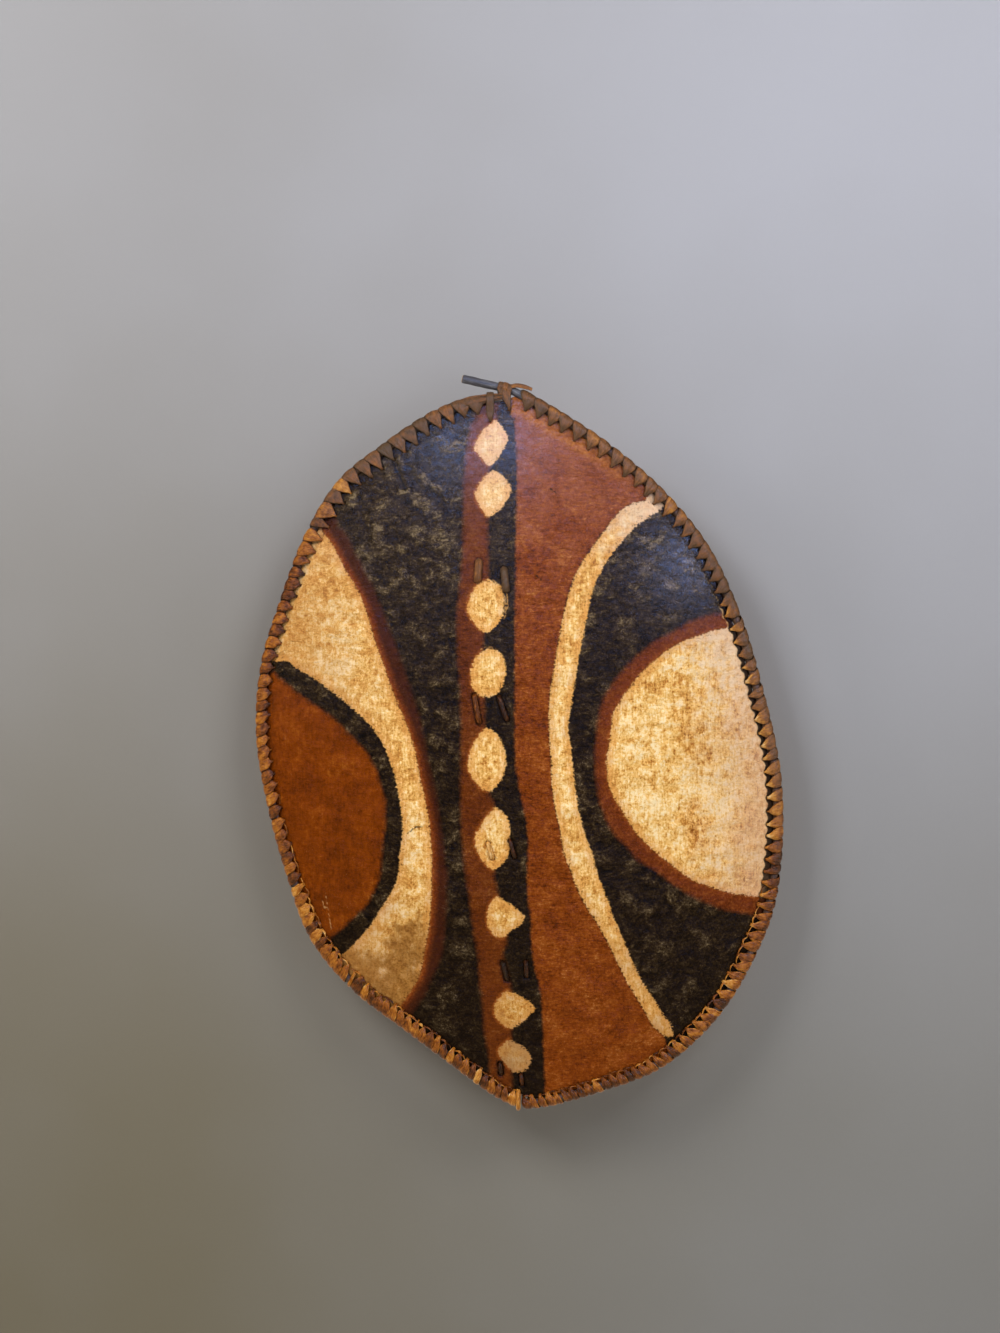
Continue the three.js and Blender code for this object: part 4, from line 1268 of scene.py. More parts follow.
def crown_bundle(ribbons):
    """Strips that lie lengthwise on the left rod's end, between the last turn and the tie."""
    length = LEFT_ROD.length
    places = np.linspace(length - CROWN_STRIP_LENGTH, length + CROWN_STRIP_PAST_END, CROWN_STRIP_POINTS)
    share = np.linspace(0, 1, CROWN_STRIP_POINTS)
    point, along, back, out = LEFT_ROD.frames(places)
    point = point + along * np.maximum(0, places - length)[:, None]
    width = CROWN_STRIP_WIDTH * (1 - 0.45 * smooth_step((share - 0.6) / 0.4))
    for start, turn, layer, tone in CROWN_STRIPS:
        angle = np.radians(start + turn * share)[:, None]
        radial = out * np.sin(angle) - back * np.cos(angle)
        reach = STRIP_RADIUS + layer - CROWN_STRIP_DROP * smooth_step((share - 0.8) / 0.2)
        ribbons.add(
            point + radial * reach[:, None], np.cross(along, radial), radial, width, STRIP_THICKNESS,
            tone, crown=CROWN_STRIP_CROWN, tilt=CROWN_STRIP_CROWN, pleats=[(-0.1, 1.0)],
            pleat_depth=CROWN_STRIP_PLEAT)


# The stave

STAVE_SIDES = 28
STAVE_SPACING = 3
STAVE_UNEVEN = 0.12


def stave_radius(z):
    above = np.maximum(0, z - BOW_HALF_LENGTH) / (STAVE_HEAD - BOW_HALF_LENGTH)
    below = np.maximum(0, -z - BOW_HALF_LENGTH) / (-STAVE_FOOT - BOW_HALF_LENGTH)
    head_taper = GRIP_RADIUS - STAVE_HEAD_RADIUS
    foot_taper = GRIP_RADIUS - STAVE_FOOT_RADIUS
    return GRIP_RADIUS - head_taper * above**2 - foot_taper * below


def stave_seat(z):
    """Depth of the stave's axis where it lies on the hide."""
    x = stave_x(z)
    return hide_depth(x, z) + HALF_HIDE + STAVE_SEAT + stave_radius(z)


STAVE_BEND = 5.5
STAVE_PATH_POINTS = 420
STAVE_END_ROUNDING = STAVE_FOOT_RADIUS / 2
# The height and size of each of the stave's knots
STAVE_KNOTS = [(262, 0.7), (128, 0.45), (-118, 0.6), (-226, 0.5)]


def stave_depth(z):
    """Depth of the stave's axis: on the hide, and bowed back at the grip."""
    past_grip = np.abs(z) - GRIP_HALF_LENGTH + STAVE_BEND
    bend_run = BOW_HALF_LENGTH - GRIP_HALF_LENGTH + 2 * STAVE_BEND
    return stave_seat(z) * smooth_step(past_grip / bend_run)


def carrying_stave():
    heights = np.linspace(STAVE_HEAD, STAVE_FOOT, STAVE_PATH_POINTS)
    path = even_path(np.column_stack([stave_x(heights), stave_depth(heights), heights]), STAVE_SPACING)
    path = with_end_points(path, STAVE_END_ROUNDING)
    radii = end_rounded(path, stave_radius(path[:, 2]), STAVE_END_ROUNDING)
    for height, size in STAVE_KNOTS:
        radii = radii + size * np.exp(-((path[:, 2] - height) / GRIP_RADIUS) ** 2)
    points = round_solid(path, radii, STAVE_SIDES, (0, 1, 0), STAVE_UNEVEN, SEED + 7)
    ease = hide_depth(points[:, 0], points[:, 2]) + HALF_HIDE + THONG_GAP
    points[:, 1] = np.maximum(points[:, 1], ease)
    piece, along = wooden_piece(
        "stave", "stave_wood", "carrying_stave", path, points, STAVE_SIDES, GRIP_RADIUS)
    add_measure(piece, "from_end", np.minimum(along, along[-1] - along))
    return piece


# The thongs

THONG_SIDES = 16
THONG_SPACING = 0.8
THONG_TWIST_PITCH = 9
THONG_STRAND = 0.17
FRONT_TWIST_SHARE = 0.4
THONG_ROUGH = 0.045
THONG_TONE = 0.42


STITCH_PAST_HIDE = 0.4
STITCH_SAG = 0.3


def round_stave(heights, degrees, lifts=(0.0, 0.0)):
    """Points round the stave's back, from the first height, angle and lift to the second ones.
    Angle 0 is its right side and half a turn its left."""
    start, stop = (math.radians(angle) for angle in degrees)
    steps = max(2, int(abs(stop - start) / math.radians(15)))
    share = np.linspace(0, 1, steps + 1)
    z, angle, lift = (first + (last - first) * share for first, last in (heights, (start, stop), lifts))
    reach = stave_radius(z) + THONG_GAP + THONG_RADIUS + lift
    return np.column_stack([
        stave_x(z) + reach * np.cos(angle), stave_seat(z) + reach * np.sin(angle), z])


def skin_point(x, z, back):
    return np.array([x, float(hide_depth(x, z)) + back, z])


def stitch_path(upper, lower):
    """Through the upper hole to the front, down the front and through the lower hole."""
    sunk = HALF_HIDE + THONG_RADIUS * 0.3
    past = HALF_HIDE + STITCH_PAST_HIDE
    rows = [
        (0, past), (0, -HALF_HIDE * 0.4), (0.18, -sunk), (0.5, -sunk - STITCH_SAG), (0.82, -sunk),
        (1, -HALF_HIDE * 0.4), (1, past),
    ]
    return np.array([skin_point(*(upper + (lower - upper) * share), back) for share, back in rows])


def thong_piece(name, path, nodes, tone_at, radius, twist_seed, front_size):
    """A twisted thong along the path: two strands, thinner at its ends."""
    steps = 8
    path = even_path(smooth_line(path, steps), THONG_SPACING)
    lengths = run_along(path)
    from_end = np.minimum(lengths, lengths[-1] - lengths)
    radii = radius * (0.55 + 0.45 * smooth_step(from_end / (3 * radius)))
    in_front = path[:, 1] < hide_depth(path[:, 0], path[:, 2])
    radii *= np.where(in_front, front_size, 1)
    angles = np.arange(THONG_SIDES) * math.tau / THONG_SIDES
    turn = lengths[:, None] / THONG_TWIST_PITCH * math.tau + twist_seed
    twist = np.where(in_front, FRONT_TWIST_SHARE, 1)[:, None]
    strand = 1 - twist * THONG_STRAND * (1 - np.abs(np.sin(angles[None, :] - turn))) ** 2 * 2
    round_way = np.broadcast_to(angles[None, :] * radius, strand.shape)
    long_way = np.broadcast_to(lengths[:, None], strand.shape)
    rough = ripples(round_way, long_way, THONG_RADIUS * 1.3, SEED + twist_seed)
    reach = radii[:, None] * (strand + THONG_ROUGH * rough)
    points = ringed(path, path_sides(path, (0.2, 0.1, 1)), reach)
    faces = tube_faces(len(path), THONG_SIDES)
    piece = make_object(name, points, turned_out(points, faces), slot="thong_hide", replaces=nodes)
    add_measure(piece, "tone", np.repeat(tone_at(path, in_front), THONG_SIDES))
    add_measure(piece, "bunch", np.zeros(len(points)))
    groove = (1 - strand) / (2 * THONG_STRAND)
    add_measure(piece, "strip_edge", 0.7 + 0.3 * groove.ravel())
    places = np.stack([round_way, long_way, np.zeros_like(strand)], axis=-1)
    add_place(piece, "strip_place", places.reshape(-1, 3))
    return piece


def paired_thong(name, pair, node, tones, front_size, seed):
    """Two front stitches, with the thong crossing behind the stave and its ends lapped there."""
    left, right = (on_front(stitch) for stitch in pair)
    left_high, left_low, right_high, right_low = left[0, 1], left[1, 1], right[0, 1], right[1, 1]
    lap = THONG_RADIUS * 2.1
    path = np.vstack([
        round_stave((left_high, left_high), (70, 150)),
        stitch_path(left[0], left[1]),
        round_stave((left_low, right_low), (150, 30)),
        stitch_path(right[1], right[0]),
        round_stave((right_high, left_high), (30, 75), (0, lap)),
        round_stave((left_high, left_high - lap), (90, 128), (lap, lap * 0.8)),
    ])
    middle = (left[:, 0].mean() + right[:, 0].mean()) / 2

    def tone_at(line, in_front):
        return np.where(in_front, np.where(line[:, 0] < middle, *tones), THONG_TONE)

    return thong_piece(name, path, [node], tone_at, THONG_RADIUS, seed, front_size)


FLAT_STRIP_CROWN = 0.35
FLAT_STRIP_PLEAT = 0.3


def flat_strip(ribbons, rows, wide, tone):
    """A flat strip through rows of place and width. Its width lies in the wide direction."""
    path = np.array([place for place, _ in rows], dtype=float)
    widths = [width for _, width in rows]
    smooth = smooth_line(path, STRIP_STEPS + 1)
    spread = np.linspace(0, len(path) - 1, len(smooth))
    tangents = unit(np.gradient(smooth, axis=0))
    wide = np.broadcast_to(np.asarray(wide, dtype=float), smooth.shape)
    wide = unit(wide - tangents * np.sum(wide * tangents, axis=1, keepdims=True))
    ribbons.add(
        smooth, wide, np.cross(wide, tangents), np.interp(spread, np.arange(len(path)), widths),
        STRIP_THICKNESS, tone, crown=FLAT_STRIP_CROWN, pleats=[(-0.25, 1.0), (0.4, 0.7)],
        pleat_depth=FLAT_STRIP_PLEAT)


# The turns of the tie on the free end: how far each lies from the end, its tone and its layer
TIE_TURNS = [(38.5, 0.30, 0.0), (43.0, 0.44, 0.5), (47.5, 0.36, 0.1)]
TIE_WIDTH = 5.4
TIE_TAIL_PX = [(511, 386.5), (517, 385.5), (525, 387), (532, 389.5)]
TIE_TAIL_WIDTH = 3.6
TIE_TAIL_WIDTHS = TIE_TAIL_WIDTH * np.array([0.9, 1, 1, 0.7])
# How far forward and down each layer of the tail lies, and its tone
TIE_TAIL_LAYERS = [(0.0, 0.0, 0.42), (1.1, 0.9, 0.51)]

# A strip's way by its hole: how far up, 1 behind the hide or -1 in front, how far past it, its width
TIE_COMING = [(0, 1, 1.2, 1.9), (0, 0, 0, 1.9), (3, -1, 0.8, 2.66)]
TIE_LEAVING = [(4, 1, 1.6, 3.04), (0, 1, 0.8, 1.9)]
TIE_DEGREES = (-125, -90, -45, 0, 45, 90, 130)
ROD_TURN_COMING = [(0, 1, 1.5, 1.8), (0, 0, 0, 1.8), (3.5, -1, 0.9, 4.6), (9, -1, 1.6, 7.6)]
ROD_TURN_LEAVING = [(8, 1, 2.4, 5), (0, 1, 2.0, 3)]
ROD_TURN_DEGREES = (-80, -45, -10, 30, 70)
ROD_TURN_WIDTH = 7.2
ROD_TURN_TONE = 0.24
ROD_END_STRETCH = 40
ROD_END_SAMPLES = 400

# The strips behind the stave's head
HEAD_TURNS = 3
HEAD_TURN_ABOVE_HOLE = 1.5
HEAD_TURN_PITCH = 3.4
HEAD_TURN_WIDTH = 3.2
HEAD_TURN_LIFT = -THONG_RADIUS * 0.7


def by_hole(hole, rows):
    """Places and widths of a strip on its way by a hole."""
    return [
        (skin_point(hole[0], hole[1] + up, face * (HALF_HIDE + past)), width)
        for up, face, past, width in rows
    ]


def round_rod(centre, back, out, reach, degrees, width):
    """Places and widths of a strip round a rod, at angles from its outward side to its back."""
    return [
        (centre + back * (reach * math.sin(angle)) + out * (reach * math.cos(angle)), width)
        for angle in map(math.radians, degrees)
    ]


def tie_turn(ribbons, from_end, tone, layer, hole):
    """One turn over the free end, from the hole in the hide and back into it from behind."""
    frames = RIGHT_ROD.frames(np.array([RIGHT_ROD.length - from_end]))
    point, along, back, out = (value[0] for value in frames)
    reach = FREE_END_RADIUS + THONG_GAP + STRIP_THICKNESS / 2 + layer
    turn = round_rod(point, back, out, reach, TIE_DEGREES, TIE_WIDTH)
    flat_strip(ribbons, by_hole(hole, TIE_COMING) + turn + by_hole(hole, TIE_LEAVING), -along, tone)


def rod_turn(ribbons, hole):
    """The strip from the left hole, up over the left rod's end and down to the stave."""
    places = np.linspace(LEFT_ROD.length - ROD_END_STRETCH, LEFT_ROD.length, ROD_END_SAMPLES)
    points = LEFT_ROD.frames(places)[0]
    point = points[np.argmin(np.abs(points[:, 0] - hole[0]))]
    reach = ROD_RADIUS + THONG_GAP + 3 * STRIP_THICKNESS
    back, up = np.array([0, 1, 0]), np.array([0, 0, 1])
    turn = round_rod(point, back, up, reach, ROD_TURN_DEGREES, ROD_TURN_WIDTH)
    rows = by_hole(hole, ROD_TURN_COMING) + turn + by_hole(hole, ROD_TURN_LEAVING)
    flat_strip(ribbons, rows, (1, 0, 0), ROD_TURN_TONE)


def head_thong():
    """The lashing of the stave's head, over the left rod's end and the right rod's free end."""
    left_hole, right_hole = HEAD_HOLES
    ribbons = Ribbons()
    rod_turn(ribbons, left_hole)
    for from_end, tone, layer in TIE_TURNS:
        tie_turn(ribbons, from_end, tone, layer, right_hole)
    tail = on_hide(on_front(TIE_TAIL_PX)) - (0, FREE_END_RADIUS, 0)
    for forward, drop, tone in TIE_TAIL_LAYERS:
        path = tail - (0, forward, drop)
        flat_strip(ribbons, list(zip(path, TIE_TAIL_WIDTHS)), (0, 0, 1), tone)
    for turn in range(HEAD_TURNS):
        z = left_hole[1] + HEAD_TURN_ABOVE_HOLE + turn * HEAD_TURN_PITCH
        path = round_stave((z, z + HEAD_TURN_PITCH / 2), (165, 15), (HEAD_TURN_LIFT, HEAD_TURN_LIFT))
        flat_strip(ribbons, [(place, HEAD_TURN_WIDTH) for place in path], (0, 0, 1), THONG_TONE)
    return ribbons.piece("head_thong", "thong_hide", ["head_lashing"])


FOOT_TIE_RADIUS = 2.5
FOOT_TIE_TONE = 0.66
FOOT_TIE_FRONT_SIZE = 0.9
FOOT_TIE_RISE = 0.5
FOOT_TIE_DROP = 3
FOOT_TIE_CROSSING = (1.5, -4)
FOOT_TIE_END = (3, 4)


def foot_thong():
    """The tie that closes the rim at the foot."""
    x, z = FOOT_HOLE[0]
    ends = [rod.frames(np.array([0.0]))[0][0] for rod in (LEFT_ROD, RIGHT_ROD)]
    middle = (ends[0] + ends[1]) / 2
    reach = ROD_RADIUS + THONG_GAP + THONG_RADIUS
    angles = np.radians([-80, -45, 0, 45, 80])
    under = np.column_stack([
        np.full(len(angles), x), middle[1] + reach * np.sin(angles),
        middle[2] - reach * 0.85 * np.cos(angles)])

    def beside(way, back):
        return [skin_point(x + way[0], z + way[1], back)]

    path = np.vstack([
        under[4:] + (0, THONG_RADIUS, FOOT_TIE_RISE),
        beside((0, -FOOT_TIE_DROP), HALF_HIDE + THONG_RADIUS),
        beside((0, 0), HALF_HIDE * 0.3),
        beside((0, -FOOT_TIE_DROP), -HALF_HIDE - THONG_RADIUS * 0.7),
        under[:4],
        under[4:] + (0, THONG_RADIUS * 2.4, 0),
        beside(FOOT_TIE_CROSSING, HALF_HIDE + THONG_RADIUS * 3),
        beside(FOOT_TIE_END, HALF_HIDE + THONG_RADIUS * 1.6),
    ])
    twist_seed = 4
    return thong_piece(
        "foot_thong", path, ["foot_tie"], lambda line, _: np.full(len(line), FOOT_TIE_TONE),
        FOOT_TIE_RADIUS, twist_seed, FOOT_TIE_FRONT_SIZE)


# Materials

# Noises by name, with features of the size in millimetres, longer where they are stretched
HIDE_NOISES = {
    "grain": {"size": 0.8, "detail": 4, "roughness": 0.6},
    "speck": {"size": 2.4, "detail": 5, "roughness": 0.65},
    "mottle": {"size": 7, "detail": 5, "roughness": 0.6},
    "blotch": {"size": 34, "detail": 4, "roughness": 0.55},
    "hair": {"size": 2.6, "detail": 5, "roughness": 0.6, "stretch": (3.4, 1, 0.55), "warp": 0.8},
    "brushed": {"size": 3.2, "detail": 5, "roughness": 0.65, "stretch": (0.6, 1, 4.5), "warp": 0.5},
    "crumple": {"size": 6.5, "detail": 4, "roughness": 0.62, "stretch": (1.5, 1, 0.8), "warp": 1.2},
}
STRIP_NOISES = {
    "fibre": {"size": 0.9, "detail": 4, "roughness": 0.6, "stretch": (0.7, 6, 1), "place": "strip_place"},
    "patch": {"size": 6, "detail": 4, "roughness": 0.6, "place": "strip_place"},
    "grain": {"size": 0.6, "detail": 3},
}
WALL_NOISES = {"fleck": {"size": 3, "detail": 4, "roughness": 0.6}, "cloud": {"size": 260, "detail": 2}}
FLOOR_NOISES = {"fleck": {"size": 40, "detail": 3}}

# Shares of the hide by name: the measure that each reads, the noises that push it and the span
# it eases over. Edges, ridges and distances are millimetres, the rest are shares.
SOFT_PUSH = {"mottle": 2.2, "speck": 1.6}
HIDE_SHARES = {
    # Painted reflection: the paint made rosier towards the crown, for the sheen of cool light from above
    "painted_crown_sheen": ("up", {"blotch": 0.3}, (0.45, 0.95)),
    "crown_lit_black": ("up", {}, (0.0, 0.8, 0.40, 0.54)),
    # Painted light: the black made paler towards the crown, where light from above falls
    "crumpled": ("up", {}, (-0.7, 0.6, 0.4, 1.05)),
    "sheen": ("up", {}, (-0.1, 0.9, 0.05, 0.24)),
    "low": ("up", {"blotch": 0.35}, (-0.50, -0.60)),
    "foot": ("up", {"blotch": 0.35}, (-0.78, -0.95, 0.0, 0.6)),
    "left_half": ("across", {}, (0.0, -0.3)),
    "left": ("across", {"mottle": 0.3}, (-0.3, -0.9, 0.0, 0.6)),
    "right": ("across", {"mottle": 0.3}, (0.55, 1.0, 0.0, 0.65)),
    "ridge": ("ridge", {}, (0.05, 0.7)),
    "lens": ("lens_edge", SOFT_PUSH, (-3.6, 3.0)),
    "stripe": ("stripe_edge", SOFT_PUSH, (-3.2, 3.6)),
    "panel": ("panel_edge", SOFT_PUSH, (-1.9, 2.1)),
    "lines": ("line_edge", SOFT_PUSH, (-3.6, 3.4)),
    "beside_white": ("white_edge", {"speck": 1.2}, (-3.4, -0.2)),
    "far_from_white": ("white_edge", {"mottle": -5.0}, (-0.5, -9.0)),
    "thin_paint": ("white_edge", {"brushed": 8.0}, (1.0, 10.0, 0.7, 0.0)),
    "white": ("white_edge", {"speck": 3.2, "hair": 2.4, "grain": 1.2}, (-0.8, 0.8)),
    "near_edge": ("white_edge", {}, (0.2, 7.0, 0.9, 0.15)),
    "strokes": ("stroke_edge", {"grain": 0.8}, (0.3, 0.9, 0.5, 0.0)),
    "by_rim": ("crest_edge", {"mottle": 6.0}, (4.0, 9.0, 1.0, 0.0)),
    "margin": ("crest_edge", {"speck": 1.0}, (-1.6, 0.2, 1.0, 0.0)),
    "outer_lip": ("crest_edge", {}, (-1.3, -0.4)),
    "inner_lip": ("crest_edge", {}, (0.5, 1.3, 1.0, 0.0)),
    "shaded_bare_margin": ("bent", {}, (0.2, 0.7, 0.1, 0.95)),
    "bent_lip": ("bent", {}, (0.45, 0.8, 0.0, 0.55)),
    "scratch": ("scratch_edge", {"grain": 0.6}, (0.5, 1.2, 1.0, 0.0)),
    "pale_scratch": ("pale_scratch_edge", {"grain": 0.8}, (0.2, 0.9, 0.6, 0.0)),
    "by_stitch": ("stitch_distance", {"speck": 2.5}, (2.2, 5.5, 0.8, 0.0)),
    "behind": ("behind", {}, (0.3, 0.7)),
}

# Relief of the hide's front, and the net of fine cracks in it
HIDE_RELIEF = {"grain": 0.08, "hair": 0.16, "speck": 0.14}
CRUMPLE_RELIEF = 1.0
NET_SIZE = 4.5
NET_STRETCH = (1.3, 1, 0.8)
NET_RELIEF = 0.12
PAINT_RELIEF = 0.12
SCRATCH_RELIEF = -0.4
PALE_SCRATCH_RELIEF = -0.15

# Heights over which the strips change from edges worn and painted with highlight to edges painted with shade,
# and grow dusty
HIGH_SPAN = (-160, 40)
HIGH_PUSH = 60
DUSTY_SPAN = (60, 210)
DUSTY_PUSH = 40
STRIP_RELIEF = {"fibre": 0.3, "patch": 0.5, "grain": 0.05}

WOOD_NOISE = {"roughness": 0.6, "place": "grain_place"}
WOOD_PATCH_SIZE = 16
CUT_END_SPAN = (0.2, 1.0)


def linear(written):
    """A written screen colour as the renderer's linear one."""
    made = []
    for start in (1, 3, 5):
        value = int(written[start:start + 2], 16) / 255
        made.append(value / 12.92 if value <= 0.04045 else ((value + 0.055) / 1.055) ** 2.4)
    return (*made, 1.0)


class Finish:
    """A node material with its noises, and a short call for each kind of node."""

    def __init__(self, name, noises):
        self.material = bpy.data.materials.new(name)
        self.material.use_nodes = True
        self.tree = self.material.node_tree
        self.tree.nodes.clear()
        self.output = self.add("ShaderNodeOutputMaterial")
        self.skin = self.add("ShaderNodeBsdfPrincipled")
        self.tree.links.new(self.skin.outputs["BSDF"], self.output.inputs["Surface"])
        coordinates = self.add("ShaderNodeTexCoord").outputs["Object"]
        self.place = self.scaled(coordinates, (1 / MM,) * 3)
        self.noises = {key: self.noise(**settings) for key, settings in noises.items()}

    def put(self, socket, value):
        """Joins the socket to another one, or sets its number or written colour."""
        if isinstance(value, bpy.types.NodeSocket):
            self.tree.links.new(value, socket)
        else:
            socket.default_value = linear(value) if isinstance(value, str) else value

    def add(self, kind, inputs=(), **settings):
        node = self.tree.nodes.new(kind)
        for name, value in settings.items():
            setattr(node, name, value)
        for name, value in dict(inputs).items():
            self.put(node.inputs[name], value)
        return node

    def scaled(self, vector, factors):
        return self.add("ShaderNodeVectorMath", {0: vector, 1: factors}, operation="MULTIPLY").outputs[0]

    def stretched(self, place, size, stretch):
        """Coordinates for a texture: the object's own, or those of a named measure."""
        if place:
            vector = self.add("ShaderNodeAttribute", attribute_name=place).outputs["Vector"]
        else:
            vector = self.place
        return self.scaled(vector, tuple(1 / (size * part) for part in stretch))

    def noise(self, size, detail=3.0, roughness=0.55, stretch=(1, 1, 1), place="", warp=0.0):
        """Noise of about 0 to 1."""
        return self.add("ShaderNodeTexNoise", {
            "Vector": self.stretched(place, size, stretch), "Scale": 1.0, "Detail": detail,
            "Roughness": roughness, "Distortion": warp,
        }).outputs["Fac"]

    def cracks(self, size, stretch):
        """Distance from the joints of an irregular net."""
        inputs = {"Vector": self.stretched("", size, stretch), "Scale": 1.0}
        return self.add("ShaderNodeTexVoronoi", inputs, feature="DISTANCE_TO_EDGE").outputs["Distance"]

    def measure(self, name):
        return self.add("ShaderNodeAttribute", attribute_name=name).outputs["Fac"]

    def along(self, axis):
        """The place along one axis of the object, in millimetres."""
        return self.add("ShaderNodeSeparateXYZ", {0: self.place}).outputs[axis]

    def calc(self, operation, *values):
        return self.add("ShaderNodeMath", enumerate(values), operation=operation).outputs[0]

    def total(self, first, *others):
        for value in others:
            first = self.calc("ADD", first, value)
        return first

    def times(self, first, *others):
        for value in others:
            first = self.calc("MULTIPLY", first, value)
        return first

    def rest_of(self, share):
        return self.calc("SUBTRACT", 1.0, share)

    def swing(self, value, reach):
        """A noise turned into a push of up to the reach either way."""
        return self.times(self.calc("SUBTRACT", value, 0.5), 2 * reach)

    def stirred(self, value, **reaches):
        """The value, pushed either way by each of the named noises up to its reach."""
        return self.total(value, *(self.swing(self.noises[name], reach) for name, reach in reaches.items()))

    def span(self, value, low, high, to_low=0.0, to_high=1.0):
        """The value, eased from one range to another."""
        sockets = ("Value", "From Min", "From Max", "To Min", "To Max")
        inputs = zip(sockets, (value, low, high, to_low, to_high))
        return self.add("ShaderNodeMapRange", inputs, interpolation_type="SMOOTHSTEP").outputs["Result"]

    def blend(self, share, low, high):
        node = self.add("ShaderNodeMix", {"Factor": share}, data_type="RGBA")
        colours = [socket for socket in node.inputs if socket.type == "RGBA"]
        self.put(colours[0], low)
        self.put(colours[1], high)
        return next(socket for socket in node.outputs if socket.type == "RGBA")

    def layered(self, colour, *layers):
        """The colour under layers, each a share and the colour that it brings."""
        for share, top in layers:
            colour = self.blend(share, colour, top)
        return colour

    def ramp(self, value, *stops):
        """A colour for the value, from stops of place and written colour."""
        node = self.add("ShaderNodeValToRGB", {"Fac": value})
        elements = node.color_ramp.elements
        while len(elements) < len(stops):
            elements.new(0.5)
        for element, (place, colour) in zip(elements, stops):
            element.position = place
            element.color = linear(colour)
        return node.outputs["Color"]

    def bump(self, height):
        """Relief from a height in millimetres."""
        node = self.add("ShaderNodeBump", {"Strength": 1.0, "Distance": MM, "Height": height})
        self.put(self.skin.inputs["Normal"], node.outputs["Normal"])

    def finish(self, colour, roughness, **others):
        """Joins the skin's inputs, with the words of the other ones set apart by underscores."""
        self.put(self.skin.inputs["Base Color"], colour)
        self.put(self.skin.inputs["Roughness"], roughness)
        for name, value in others.items():
            self.put(self.skin.inputs[name.replace("_", " ")], value)
        return self.material


